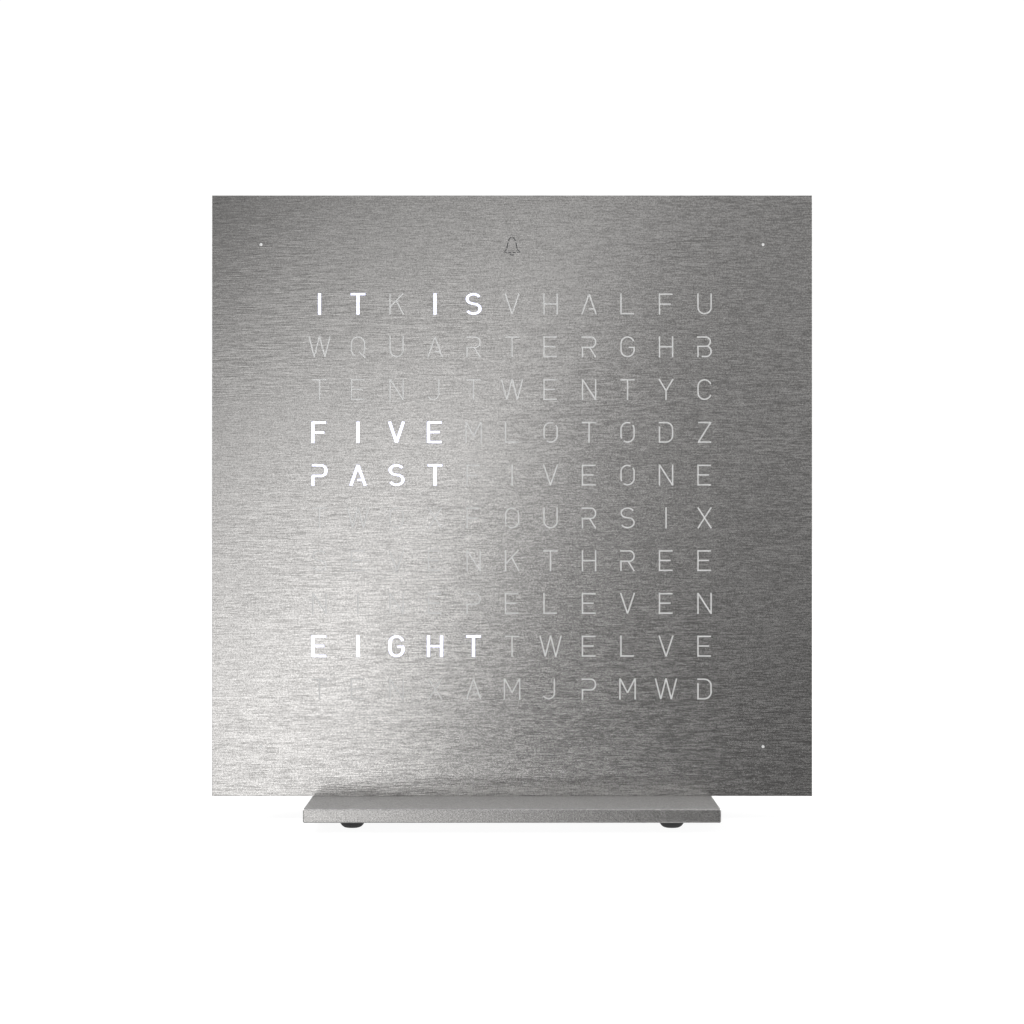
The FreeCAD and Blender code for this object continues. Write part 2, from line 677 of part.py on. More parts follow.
# One plunger of a switch. It moves with the button that lies on it.
def make_plunger(name, across):
    body = new_body(name + "_plunger")
    pad_back(body, "pin", lambda s: add_circle(s, "Sizes.plunger_diameter", across, "Places.button_up"),
             "Places.plunger_front_y", "Places.flange_front_y - (Places.plunger_front_y)")
    return body


# One button: a flange held behind the rear cover and a head with a shallow dish for the fingertip.
def make_button(name, across):
    body = new_body(name + "_button")
    up = "Places.button_up"
    flange = f"{up} + Sizes.flange_diameter / 2"
    head = f"{up} + Sizes.button_diameter / 2"
    rim = f"{up} + Sizes.button_diameter / 2 - 2 * Sizes.button_dish"
    floor = "Places.button_back_y - Sizes.button_dish"
    outline = [("Places.flange_front_y", up), ("Places.flange_front_y", flange),
               ("Places.flange_back_y", flange), ("Places.flange_back_y", head), (floor, head),
               ("Places.button_back_y", f"{head} - Sizes.button_dish"), (floor, rim), (floor, up)]
    turn(body, "head", outline, "YZ_Plane", across, up)
    return body


# The power socket: a drawn steel shell round an insulator with a tongue.
def make_socket_shell():
    body = new_body("socket_shell")
    front, length = "Places.board_back_y", "Places.rear_inner_y - Places.board_back_y"
    pad_back(body, "block", lambda s: add_rectangle(s, "Sizes.socket_width", "Sizes.socket_height", "0",
                                                    "Places.socket_up"), front, length)
    inside = cut_back(body, "inside",
                      lambda s: add_rectangle(s, "Sizes.socket_width - 2 * Sizes.socket_wall",
                                              "Sizes.socket_height - 2 * Sizes.socket_wall", "0",
                                              "Places.socket_up"), front)
    inner_round = dress(body, "Fillet", "inner_round", inside, "Sizes.socket_corner - Sizes.socket_wall",
                        runs_along_at(ALONG_DEPTH, "Sizes.socket_width / 2 - Sizes.socket_wall"))
    dress(body, "Fillet", "outer_round", inner_round, "Sizes.socket_corner",
          runs_along_at(ALONG_DEPTH, "Sizes.socket_width / 2"))
    return body


def make_socket_insulator():
    body = new_body("socket_insulator")
    width = "Sizes.socket_width - 2 * Sizes.socket_wall"
    height = "Sizes.socket_height - 2 * Sizes.socket_wall"
    floor = pad_back(body, "floor", lambda s: add_rectangle(s, width, height, "0", "Places.socket_up"),
                     "Places.board_back_y", "Sizes.socket_floor")
    dress(body, "Fillet", "round", floor, "Sizes.socket_corner - Sizes.socket_wall", runs_along(ALONG_DEPTH))
    pad_back(body, "tongue", lambda s: add_rectangle(s, "Sizes.tongue_width", "Sizes.tongue_thickness", "0",
                                                     "Places.socket_up"), "Places.board_back_y",
             "Places.rear_inner_y - Places.board_back_y - Sizes.tongue_setback")
    return body


# The alarm sounder, with its port facing the sound holes.
def make_sounder():
    body = new_body("sounder")
    across, up = "Places.sounder_across", "Places.sounder_up"
    pad_back(body, "case", lambda s: add_circle(s, "Sizes.sounder_diameter", across, up),
             "Places.board_back_y", "Sizes.sounder_height")
    cut_back(body, "port", lambda s: add_circle(s, "Sizes.sounder_port", across, up),
             "Places.board_back_y + Sizes.sounder_height / 2", "Sizes.sounder_height / 2")
    return body


# The holder of the backup cell, the cell, and the spring clip over it.
def make_cell_holder():
    body = new_body("cell_holder")
    across, up = "Places.cell_across", "Places.cell_up"
    pad_back(body, "cup", lambda s: add_circle(s, "Places.holder_diameter", across, up),
             "Places.board_back_y", "Sizes.holder_floor + Sizes.cell_thickness")
    cut_back(body, "seat", lambda s: add_circle(s, "Sizes.cell_diameter + 2 * Sizes.cell_gap", across, up),
             "Places.board_back_y + Sizes.holder_floor", "Sizes.cell_thickness")
    return body


def make_coin_cell():
    body = new_body("coin_cell")
    cell = pad_back(body, "cell", lambda s: add_circle(s, "Sizes.cell_diameter", "Places.cell_across",
                                                       "Places.cell_up"),
                    "Places.board_back_y + Sizes.holder_floor", "Sizes.cell_thickness")
    dress(body, "Chamfer", "rims", cell, "Sizes.cell_gap", lambda edge: isinstance(edge.Curve, Part.Circle))
    return body


def make_cell_clip():
    body = new_body("cell_clip")
    left = "Places.cell_across - Places.holder_diameter / 2"
    right = "Places.cell_across + Places.holder_diameter / 2"
    low, high, strip = "Places.board_back_y", "Places.cell_back_y", "Sizes.clip_strip"
    sketch = new_sketch(body, "strip_sketch", "XY_Plane", "Places.cell_up - Sizes.clip_width / 2")
    add_outline(sketch, [(f"{left} - {strip}", low), (left, low), (left, high), (right, high), (right, low),
                         (f"{right} + {strip}", low), (f"{right} + {strip}", f"{high} + {strip}"),
                         (f"{left} - {strip}", f"{high} + {strip}")])
    add_feature(body, "Pad", "strip", sketch, "Sizes.clip_width")
    return body


# Plain packages soldered to the back of the board.
def make_package(label, width, height, depth, across, up, row=None):
    body = new_body(label)
    package = pad_back(body, "package", lambda s: add_rectangle(s, width, height, across, up),
                       "Places.board_back_y", depth)
    if row:
        repeat(body, "packages", package, row)
    return body


def make_capacitor():
    body = new_body("smoothing_capacitor")
    pad_back(body, "can", lambda s: add_circle(s, "Sizes.capacitor_diameter", "Sizes.capacitor_across",
                                               "Places.capacitor_up"), "Places.board_back_y",
             "Sizes.capacitor_height")
    return body


# The foot plate: a flat metal slab with two countersunk holes from below.
def make_base_plate():
    body = new_body("base_plate", "Sizes.foot_height")
    sketch = new_sketch(body, "slab_sketch", "XY_Plane", "0")
    add_rectangle(sketch, "Sizes.base_width", "Sizes.base_depth")
    slab = add_feature(body, "Pad", "slab", sketch, "Sizes.base_thickness")
    dress(body, "Chamfer", "edges", slab, "Sizes.base_edge_break", lambda edge: True)
    across = "-Sizes.stand_screw_spacing / 2"
    wide = f"{across} + Sizes.stand_head_diameter / 2 + Sizes.stand_screw_clearance"
    narrow = f"{across} + Places.stand_passage / 2"
    outline = [(across, "0"), (wide, "0"), (narrow, "Sizes.stand_head_height"),
               (narrow, "Sizes.base_thickness"), (across, "Sizes.base_thickness")]
    hole = turn(body, "screw_hole", outline, "XZ_Plane", "-(Places.stand_screw_y)", across, cut=True)
    repeat(body, "screw_holes", hole, (PAIR, "Sizes.stand_screw_spacing"))
    return body


# The spacer between foot plate and housing, hidden behind the cover.
def make_stand_spacer():
    body = new_body("stand_spacer", "Places.base_top")
    sketch = new_sketch(body, "block_sketch", "XY_Plane", "0")
    depth = "Places.rear_inner_y - Places.spacer_front_y"
    middle = "(Places.rear_inner_y + Places.spacer_front_y) / 2"
    add_rectangle(sketch, "Sizes.spacer_width", depth, "0", middle)
    block = add_feature(body, "Pad", "block", sketch, "Places.housing_bottom - Places.base_top")
    dress(body, "Fillet", "corners", block, "Sizes.spacer_corner", runs_along(Vector(0, 0, 1)))
    holes = new_sketch(body, "screw_hole_sketch", "XY_Plane", "0")
    add_circle(holes, "Places.stand_passage", "-Sizes.stand_screw_spacing / 2", "Places.stand_screw_y")
    hole = add_feature(body, "Pocket", "screw_hole", holes, None, backwards=True)
    repeat(body, "screw_holes", hole, (PAIR, "Sizes.stand_screw_spacing"))
    return body


def make_stand_screws():
    body = new_body("stand_screws", "Sizes.foot_height")
    across = "-Sizes.stand_screw_spacing / 2"
    tip = "Places.housing_bottom + Sizes.insert_length - Sizes.foot_height"
    head = f"{across} + Sizes.stand_head_diameter / 2"
    shank = f"{across} + Sizes.stand_screw_diameter / 2"
    outline = [(across, "0"), (head, "0"), (shank, "Sizes.stand_head_height"), (shank, tip), (across, tip)]
    screw = turn(body, "screw", outline, "XZ_Plane", "-(Places.stand_screw_y)", across)
    repeat(body, "screws", screw, (PAIR, "Sizes.stand_screw_spacing"))
    return body


# One rubber foot, which narrows to a flat where it meets the table.
def make_foot(label, side, end):
    body = new_body(label, "0")
    sketch = new_sketch(body, "pad_sketch", "XY_Plane", "0")
    add_circle(sketch, "Sizes.foot_diameter")
    puck = add_feature(body, "Pad", "puck", sketch, "Sizes.foot_height")
    dress(body, "Chamfer", "shoulder", puck, "Sizes.foot_shoulder",
          lambda edge: isinstance(edge.Curve, Part.Circle) and abs(edge.Curve.Center.z) < NEAR)
    body.setExpression("Placement.Base.x", f"{side} * (Sizes.base_width / 2 - Sizes.foot_inset)")
    body.setExpression("Placement.Base.y", f"{end} * (Sizes.base_depth / 2 - Sizes.foot_inset)")
    return body


def make_clock():
    """All sub-parts, front to back and then the stand."""
    lamp = ("Sizes.lamp_width", "Sizes.lamp_height", "Sizes.lamp_depth")
    dot_lamp = ("Sizes.dot_lamp_width", "Sizes.dot_lamp_height", "Sizes.dot_lamp_depth")
    guide_screw_rows, rear_screw_rows = "2 * Places.side_post_up", "2 * Places.post_middle"
    parts = [
        make_front_cover(),
        make_diffuser_sheet(),
        make_round_set("cover_discs", "Sizes.disc_diameter", "Places.cover_back_y", "Sizes.disc_thickness"),
        make_light_guide(),
        make_round_set("guide_magnets", "Sizes.disc_diameter", "Places.magnet_front_y",
                       "Sizes.magnet_length"),
        make_screws("guide_screws", "Places.guide_front_y", "+", "Sizes.screw_length", guide_screw_rows),
        make_led_board(),
        make_lamps("letter_leds", *lamp, "-Places.grid_side / 2", "-Places.grid_side / 2", *GRID_ROWS),
        make_lamps("minute_leds", *dot_lamp, "-Places.dot_spacing / 2", "-Places.dot_spacing / 2", DOT_ROW,
                   DOT_ROW),
        make_lamps("bell_led", *lamp, "0", "Places.dot_spacing / 2"),
        make_touch_spring(),
        make_housing_frame(),
        make_stand_inserts(),
        make_rear_cover(),
        make_screws("rear_screws", "Places.rear_y", "-", "Sizes.rear_screw_length", rear_screw_rows),
        make_switch_bodies(),
        make_socket_shell(),
        make_socket_insulator(),
        make_sounder(),
        make_cell_holder(),
        make_coin_cell(),
        make_cell_clip(),
        make_package("microcontroller", "Sizes.chip_side", "Sizes.chip_side", "Sizes.chip_height", "0",
                     "Sizes.chip_up"),
        make_package("led_drivers", "Sizes.driver_width", "Sizes.driver_height", "Sizes.driver_depth",
                     "-Sizes.driver_spacing / 2", "Sizes.driver_up", (PAIR, "Sizes.driver_spacing")),
        make_package("clock_crystal", "Sizes.crystal_width", "Sizes.crystal_height",
                     "Sizes.crystal_depth", "0", "Sizes.crystal_up"),
        make_capacitor(),
        make_base_plate(),
        make_stand_spacer(),
        make_stand_screws(),
    ]
    for i, name in enumerate(BUTTONS):
        across = f"Places.button_first_across + {i} * Sizes.button_spacing"
        parts += [make_button(name, across), make_plunger(name, across)]
    for end, end_sign in (("front", "-1"), ("rear", "1")):
        for side, side_sign in (("left", "-1"), ("right", "1")):
            parts.append(make_foot(f"foot_{end}_{side}", side_sign, end_sign))
    return parts


def check_document(parts):
    """Stops if any object failed, or if a sub-part has no sound solid."""
    for item in doc.Objects:
        if any(word in item.State for word in ("Invalid", "Error")):
            sys.exit(f"{item.Label} did not compute: {item.State}")
    for part in parts:
        if part.Shape.isNull() or not part.Shape.isValid() or not part.Shape.Solids:
            sys.exit(f"{part.Label} has no valid solid")


parts = make_clock()
doc.recompute()
check_document(parts)
os.makedirs("parts", exist_ok=True)
for part in parts:
    part.Shape.exportStep(os.path.join("parts", part.Label + ".step"))
print(len(parts), "sub-parts written,", sum(len(p.Shape.Solids) for p in parts), "solids")
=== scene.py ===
# A square word clock on a flat foot plate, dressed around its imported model. Metres throughout:
# X to the right, Y from the face to the back, Z up, and the table top at Z = 0.
import math
import bmesh
import bpy
import numpy as np
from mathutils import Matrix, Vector
from mathutils.geometry import delaunay_2d_cdt


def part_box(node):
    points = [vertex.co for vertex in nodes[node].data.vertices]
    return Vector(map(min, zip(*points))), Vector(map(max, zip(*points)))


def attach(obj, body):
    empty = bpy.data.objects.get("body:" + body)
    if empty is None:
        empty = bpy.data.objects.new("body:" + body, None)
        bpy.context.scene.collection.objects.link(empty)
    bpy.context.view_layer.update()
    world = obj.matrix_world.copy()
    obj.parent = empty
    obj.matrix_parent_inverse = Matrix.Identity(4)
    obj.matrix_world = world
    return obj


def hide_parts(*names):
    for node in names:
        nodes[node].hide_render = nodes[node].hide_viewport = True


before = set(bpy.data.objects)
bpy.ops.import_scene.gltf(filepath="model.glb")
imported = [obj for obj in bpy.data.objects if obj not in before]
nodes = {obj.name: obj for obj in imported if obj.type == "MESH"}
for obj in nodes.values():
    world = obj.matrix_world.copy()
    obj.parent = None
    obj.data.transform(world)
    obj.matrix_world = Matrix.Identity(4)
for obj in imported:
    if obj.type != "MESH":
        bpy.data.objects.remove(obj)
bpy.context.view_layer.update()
scene = bpy.context.scene
coverLow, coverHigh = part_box("front_cover")
coverMiddle = (coverLow + coverHigh) / 2
print("frame loaded:", len(nodes), "nodes")

# Camera, level and straight in front of the face

view = {
    "distance": 0.550,      # from the face to the camera
    "height": 0.0691,       # of the photograph's middle row
    "fieldAtFace": 0.2303,  # the photograph's width, as a length on the face
    "sensor": 36.0,         # in millimetres, as lenses are
    "nearest": 0.01,        # that the camera sees
}


def placeCamera():
    lens = bpy.data.cameras.new("camera")
    lens.sensor_width = view["sensor"]
    lens.lens = view["sensor"] * view["distance"] / view["fieldAtFace"]
    lens.clip_start = view["nearest"]
    camera = bpy.data.objects.new("camera", lens)
    camera.location = (coverMiddle.x, coverLow.y - view["distance"], view["height"])
    camera.rotation_euler = (math.pi / 2, 0, 0)
    scene.collection.objects.link(camera)
    scene.camera = camera


placeCamera()
print("camera placed")

# Shader maths as plain expressions: a Flow is a socket's value, and a Finish is a material being built


class Flow:
    def __init__(self, finish, socket):
        self.finish = finish
        self.socket = socket

    def maths(self, operation, first, second=0.0):
        return self.finish.add("Math", {"operation": operation}, {0: first, 1: second})

    def __add__(self, other):
        return self.maths("ADD", self, other)

    def __sub__(self, other):
        return self.maths("SUBTRACT", self, other)

    def __rsub__(self, other):
        return self.maths("SUBTRACT", other, self)

    def __mul__(self, other):
        return self.maths("MULTIPLY", self, other)

    __radd__ = __add__
    __rmul__ = __mul__

    def squared(self):
        return self * self

    def exponential(self):
        return self.maths("EXPONENT", self)


class Finish:
    def __init__(self, name, **settings):
        self.material = bpy.data.materials.new(name)
        self.material.use_nodes = True
        self.tree = self.material.node_tree
        self.shader = self.tree.nodes["Principled BSDF"]
        self.place = self.add("TexCoord", output="Object")
        self.set(**settings)

    def feed(self, socket, amount):
        if isinstance(amount, Flow):
            self.tree.links.new(amount.socket, socket)
        else:
            socket.default_value = amount

    def set(self, **settings):  # baseColor=... feeds the shader's socket Base Color, and so on
        for key, amount in settings.items():
            name = "".join(" " + letter if letter.isupper() else letter for letter in key).title()
            name = name.replace("I O R", "IOR")
            if isinstance(amount, tuple) and len(amount) == 3:
                amount = (*amount, 1.0)
            self.feed(self.shader.inputs[name], amount)

    def add(self, kind, settings=None, inputs=None, output=0):
        node = self.tree.nodes.new("ShaderNode" + kind)
        for name, amount in (settings or {}).items():
            setattr(node, name, amount)
        for name, amount in (inputs or {}).items():
            self.feed(node.inputs[name], amount)
        return Flow(self, node.outputs[output])

    def part(self, vector, axis):  # one coordinate of a vector: 0, 1 or 2 for X, Y or Z
        return self.add("SeparateXYZ", None, {0: vector}, axis)

    def noise(self, grain, detail=2.0, shift=0.0):  # grain: feature size along X, Y and Z
        spread = self.add("Mapping", None, {"Vector": self.place, "Location": (shift, shift, shift),
                                            "Scale": tuple(1 / size for size in grain)})
        return self.add("TexNoise", None, {"Vector": spread, "Scale": 1.0, "Detail": detail})

    def sharpen(self, flow, low, high):  # 0 below low, 1 above high
        return self.add("MapRange", {"interpolation_type": "SMOOTHSTEP"},
                        {"Value": flow, "From Min": low, "From Max": high})

    def blend(self, factor, first, second):  # of two colours, the node's inputs 6 and 7 and its output 2
        colours = {"Factor": factor, 6: (*first, 1.0), 7: (*second, 1.0)}
        return self.add("Mix", {"data_type": "RGBA"}, colours, 2)

    def bump(self, height, strength, depth):
        return self.add("Bump", None, {"Height": height, "Strength": strength, "Distance": depth})


class Sky(Finish):  # the same for a world, whose places are directions
    def __init__(self, world):
        self.tree = world.node_tree
        self.place = self.add("TexCoord", output="Generated")


def evenGrain(size):
    return (size, size, size)


# Finishes. A shift is where a noise starts, so that no two patterns fall together, and edges are the
# noise's values between which a sharpened pattern goes from 0 to 1.

steel = {
    "dark": (0.40, 0.394, 0.388), "light": (0.84, 0.83, 0.82),
    "streak": (0.0040, 0.02, 0.00026),   # length, depth and height of a brush stroke
    "hair": (0.0020, 0.02, 0.00019),
    "grain": 0.00034,
    "streakShift": 3.1, "hairShift": 7.7, "grainShift": 1.3,
    "streakTone": 1.12, "hairTone": 1.7, "grainTone": 1.8,
    "cloud": (0.050, 0.050, 0.030),      # how far apart strong and faint strokes lie
    "cloudShift": 2.6, "cloudEdges": (0.36, 0.64), "faintest": 0.4, "strongest": 1.5,
    "lean": (3.0, -2.0),                 # how much stronger all of it gets, for each metre right and up
    "roughness": 0.18, "roughnessSpread": 0.12,
    "streakBump": 0.40, "hairBump": 0.20, "grainBump": 0.05, "bumpDepth": 0.00003,
}


def makeBrushedSteel(name, values):
    # Brushing makes strokes that lie along X: they change the tone a little, and tilt the surface up and
    # down, which breaks up whatever the metal mirrors. Strong and faint strokes come in clouds, and all of
    # them get a little stronger to the right and fainter upwards.
    finish = Finish(name, metallic=1.0)
    streak = finish.noise(values["streak"], 2.0, values["streakShift"]) - 0.5
    hair = finish.noise(values["hair"], 2.0, values["hairShift"]) - 0.5
    grain = finish.noise(evenGrain(values["grain"]), 1.0, values["grainShift"]) - 0.5
    cloud = finish.sharpen(finish.noise(values["cloud"], 2.0, values["cloudShift"]), *values["cloudEdges"])
    cloud = cloud * (values["strongest"] - values["faintest"]) + values["faintest"]
    across = finish.part(finish.place, 0) - coverMiddle.x
    up = finish.part(finish.place, 2) - coverMiddle.z
    strength = across * values["lean"][0] + up * values["lean"][1] + 1.0
    strokes = streak * cloud
    tone = strokes * values["streakTone"] + hair * values["hairTone"] + grain * values["grainTone"]
    height = strokes * values["streakBump"] + hair * values["hairBump"] + grain * values["grainBump"]
    tone = tone * strength
    height = height * strength
    finish.set(
        baseColor=finish.blend(tone + 0.5, values["dark"], values["light"]),
        roughness=values["roughness"] + hair * values["roughnessSpread"],
        normal=finish.bump(height, 1.0, values["bumpDepth"]),
    )
    return finish.material


blasted = {
    "dark": (0.34, 0.335, 0.33), "light": (0.86, 0.85, 0.84),
    "grain": 0.00032, "coarse": 0.0017,
    "grainShift": 2.2, "coarseShift": 4.4,
    "grainTone": 1.5, "coarseTone": 0.15,
    "roughness": 0.22, "roughnessSpread": 0.14,
    "dulled": 0.24,                      # added to the roughness where the metal faces up
    "upEdges": (0.8, 0.95),              # of the normal's upward part
    "bump": 0.12, "bumpDepth": 0.00004,
}


def makeBlastedMetal(name, values):
    finish = Finish(name, metallic=1.0)
    grain = finish.noise(evenGrain(values["grain"]), 2.0, values["grainShift"]) - 0.5
    coarse = finish.noise(evenGrain(values["coarse"]), 2.0, values["coarseShift"]) - 0.5
    tone = grain * values["grainTone"] + coarse * values["coarseTone"] + 0.5
    normal = finish.add("NewGeometry", output="Normal")
    up = finish.sharpen(finish.part(normal, 2), *values["upEdges"])
    finish.set(
        baseColor=finish.blend(tone, values["dark"], values["light"]),
        roughness=coarse * values["roughnessSpread"] + up * values["dulled"] + values["roughness"],
        normal=finish.bump(grain, values["bump"], values["bumpDepth"]),
    )
    return finish.material


moulded = {
    "broad": 0.012,
    "fineShift": 6.1, "broadShift": 8.3,
    "fineShare": 0.7, "broadShare": 0.3, "edges": (0.38, 0.62),
    "lift": 0.002,                       # added to the colour where it is worn
    "fineSpread": 0.15, "broadSpread": 0.05,  # of the roughness
    "bumpDepth": 0.00006,
}


def makeMoulded(name, colour, roughness, grain=0.0005, bump=0.3, wear=1.25, **more):
    finish = Finish(name, **more)
    fine = finish.noise(evenGrain(grain), 2.0, moulded["fineShift"])
    broad = finish.noise(evenGrain(moulded["broad"]), 3.0, moulded["broadShift"])
    worn = tuple(min(1.0, part * wear + moulded["lift"]) for part in colour)
    wearing = broad * moulded["broadShare"] + fine * moulded["fineShare"]
    unevenness = (broad - 0.5) * moulded["broadSpread"] + (fine - 0.5) * moulded["fineSpread"]
    finish.set(
        baseColor=finish.blend(finish.sharpen(wearing, *moulded["edges"]), colour, worn),
        roughness=unevenness + roughness,
        normal=finish.bump(fine, bump, moulded["bumpDepth"]),
    )
    return finish.material


plated = {
    "cloud": 0.0016, "scratch": (0.0030, 0.0002, 0.0002),
    "cloudShift": 2.9, "scratchShift": 9.4,
    "cloudShare": 0.6, "scratchShare": 0.4, "edges": (0.35, 0.65),
    "roughnessSpread": 0.18,
    "bump": 0.12, "bumpDepth": 0.00002,
}


def makePlated(name, dark, light, roughness):
    finish = Finish(name, metallic=1.0)
    cloud = finish.noise(evenGrain(plated["cloud"]), 3.0, plated["cloudShift"])
    scratch = finish.noise(plated["scratch"], 2.0, plated["scratchShift"])
    tarnish = cloud * plated["cloudShare"] + scratch * plated["scratchShare"]
    finish.set(
        baseColor=finish.blend(finish.sharpen(tarnish, *plated["edges"]), dark, light),
        roughness=roughness + (scratch - 0.5) * plated["roughnessSpread"],
        normal=finish.bump(scratch, plated["bump"], plated["bumpDepth"]),
    )
    return finish.material


opal = {
    "dim": (0.63, 0.63, 0.625), "bright": (0.69, 0.69, 0.685), "roughness": 0.5,
    "cloud": 0.0012, "cloudShift": 3.3, "edges": (0.35, 0.65), "glowEdges": (0.3, 0.7),
    "roughnessSpread": 0.1,
    "bump": 0.08, "bumpDepth": 0.00002,
}
opalDots = opal | {"dim": (0.74, 0.74, 0.735), "bright": (0.80, 0.80, 0.795), "roughness": 0.6}
glow = {"colours": ((0.62, 0.65, 1.0), (0.68, 0.70, 1.0)), "strength": 1.8}


def makeOpal(name, values, lit=False):
    finish = Finish(name)
    cloud = finish.noise(evenGrain(values["cloud"]), 2.0, values["cloudShift"])
    finish.set(
        baseColor=finish.blend(finish.sharpen(cloud, *values["edges"]), values["dim"], values["bright"]),
        roughness=values["roughness"] + (cloud - 0.5) * values["roughnessSpread"],
        normal=finish.bump(cloud, values["bump"], values["bumpDepth"]),
    )
    if lit:
        finish.set(
            emissionColor=finish.blend(finish.sharpen(cloud, *values["glowEdges"]), *glow["colours"]),
            emissionStrength=glow["strength"],
        )
    return finish.material


brushedSteel = makeBrushedSteel("brushed_steel", steel)
blastedMetal = makeBlastedMetal("blasted_metal", blasted)
opalUnlit = makeOpal("opal_unlit", opal)
opalLit = makeOpal("opal_lit", opal, lit=True)
# Painted shade: the bell sign's inlay is dark grey as the shade inside its unlit cut, not as a colour of
# its own
bellCutShade = makeMoulded("bell_painted_shade", (0.10, 0.101, 0.103), 0.5, 0.0004, 0.1)
opalDot = makeOpal("opal_dot", opalDots)
mouldedBlack = makeMoulded("moulded_black", (0.020, 0.020, 0.021), 0.46, 0.00045, 0.9, 1.3)
guideBlack = makeMoulded("guide_black", (0.020, 0.020, 0.021), 0.55)
buttonGrey = makeMoulded("button_grey", (0.075, 0.076, 0.080), 0.38, 0.0003, 0.2)
markGrey = makeMoulded("mark_grey", (0.42, 0.42, 0.43), 0.5, 0.0003, 0.1, 1.1)
switchBlack = makeMoulded("switch_black", (0.022, 0.022, 0.023), 0.42)
plungerGrey = makeMoulded("plunger_plastic", (0.05, 0.05, 0.052), 0.40)
boardGreen = makeMoulded("board_mask", (0.012, 0.030, 0.022), 0.30, 0.0012, 0.15, coatWeight=0.4)
lampWhite = makeMoulded("lamp_white", (0.78, 0.77, 0.72), 0.35, 0.0003, 0.1, 1.05)
footRubber = makeMoulded("foot_rubber", (0.024, 0.024, 0.025), 0.62, 0.00022, 0.5, 1.35)
screwZinc = makePlated("screw_zinc", (0.10, 0.10, 0.105), (0.19, 0.19, 0.195), 0.36)
nickel = makePlated("nickel", (0.60, 0.58, 0.55), (0.74, 0.72, 0.69), 0.22)
tin = makePlated("tin", (0.55, 0.55, 0.56), (0.72, 0.72, 0.73), 0.28)
brass = makePlated("brass", (0.66, 0.48, 0.21), (0.82, 0.64, 0.33), 0.30)
gold = makePlated("gold", (0.78, 0.56, 0.22), (0.90, 0.70, 0.34), 0.24)
canMetal = makePlated("can_metal", (0.56, 0.56, 0.57), (0.68, 0.68, 0.69), 0.34)

nodeFinish = {
    brushedSteel: ["cover_discs"],
    opalUnlit: ["diffuser_sheet"],
    guideBlack: ["light_guide"],
    nickel: ["guide_magnets"],
    screwZinc: ["guide_screws"],
    boardGreen: ["led_board"],
    lampWhite: ["letter_leds", "minute_leds", "bell_led"],
    brass: ["touch_spring", "stand_inserts"],
    mouldedBlack: ["housing_frame", "rear_cover"],
    buttonGrey: ["hour_button", "minute_button", "alarm_button", "mode_button"],
    plungerGrey: ["hour_plunger", "minute_plunger", "alarm_plunger", "mode_plunger"],
    switchBlack: ["switch_bodies", "socket_insulator", "sounder", "cell_holder", "microcontroller",
                  "led_drivers"],
    tin: ["socket_shell", "coin_cell", "cell_clip"],
    canMetal: ["clock_crystal", "smoothing_capacitor"],
    blastedMetal: ["base_plate", "stand_spacer"],
}
for finish, names in nodeFinish.items():
    for name in names:
        nodes[name].data.materials.clear()
        nodes[name].data.materials.append(finish)
print("finishes made")

# Surfaces, worked out as whole arrays

merging = {"corners": 1e-7, "edges": 1e-8}  # how near corners are merged, and how short edges go
sharpTurn = math.radians(35)  # between faces, above which a smooth piece shows an edge


def gridFaces(rows, columns):  # quads of a grid whose last column joins its first
    row = np.arange(rows - 1)[:, None] * columns
    here = np.arange(columns)[None, :]
    there = (here + 1) % columns
    above = row + columns
    return np.stack([row + here, row + there, above + there, above + here], -1).reshape(-1, 4)


def onlyUsed(points, faces):  # the same triangles without the points that none of them uses
    used, renumbered = np.unique(faces, return_inverse=True)
    return points[used], renumbered.reshape(-1, 3)


def makePiece(name, points, faces, finish, body, replaced=(), smooth=False):
    mesh = bpy.data.meshes.new(name)
    mesh.from_pydata(np.asarray(points).tolist(), [], np.asarray(faces).tolist())
    weld = bmesh.new()
    weld.from_mesh(mesh)
    bmesh.ops.remove_doubles(weld, verts=weld.verts, dist=merging["corners"])
    bmesh.ops.dissolve_degenerate(weld, edges=weld.edges, dist=merging["edges"])
    weld.to_mesh(mesh)
    weld.free()
    mesh.materials.append(finish)
    if smooth:
        mesh.shade_smooth()
        mesh.set_sharp_from_angle(angle=sharpTurn)
    piece = bpy.data.objects.new(name, mesh)
    scene.collection.objects.link(piece)
    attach(piece, body)
    if replaced:
        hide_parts(*replaced)
    return piece


# Letters of the face: every stroke is a path in units of the letter's height, from 0 at its foot to 1

letters = {
    "rows": ["ITKISVHALFU", "WQUARTERGHB", "TENJTWENTYC", "FIVEMLOTODZ", "PASTFIVEONE",
             "TWOXFOURSIX", "SEVENKTHREE", "NINEPELEVEN", "EIGHTTWELVE", "TENXAMJPMWD"],
    "lit": {0: (0, 1, 3, 4), 3: (0, 1, 2, 3), 4: (0, 1, 2, 3), 8: (0, 1, 2, 3, 4)},  # columns of a row
    "height": 0.00476,
    "stroke": (0.00034, 0.00034),     # width of upright and of level strokes
    "litStroke": (0.00064, 0.00045),
    "drop": 0.0002,                   # of the whole grid below the lamps' middle
    "recess": 0.00004,                # of the opal below the steel
    "side": 0.31,                     # from a letter's middle to its upright strokes
    "low": 0.04, "high": 0.96,        # middles of its lowest and highest level strokes
    "overlap": 0.04,                  # of a level stroke past the upright one that it meets
}
side, low, high = letters["side"], letters["low"], letters["high"]
barEnd = side + letters["overlap"]
arcStep = 12  # degrees, at most, from one corner of a curve to the next


def line(*corners):  # a path through the corners
    return np.array(corners, float)


def turnSteps(start, end):  # the turns of a curve's corners, from degrees
    return np.radians(np.linspace(start, end, 2 + int(abs(end - start) / arcStep)))


def arc(centre, radii, start, end):  # centre + radii * (cos, sin) of the turn, from degrees to degrees
    turn = turnSteps(start, end)
    return np.stack([centre[0] + radii[0] * np.cos(turn), centre[1] + radii[1] * np.sin(turn)], 1)


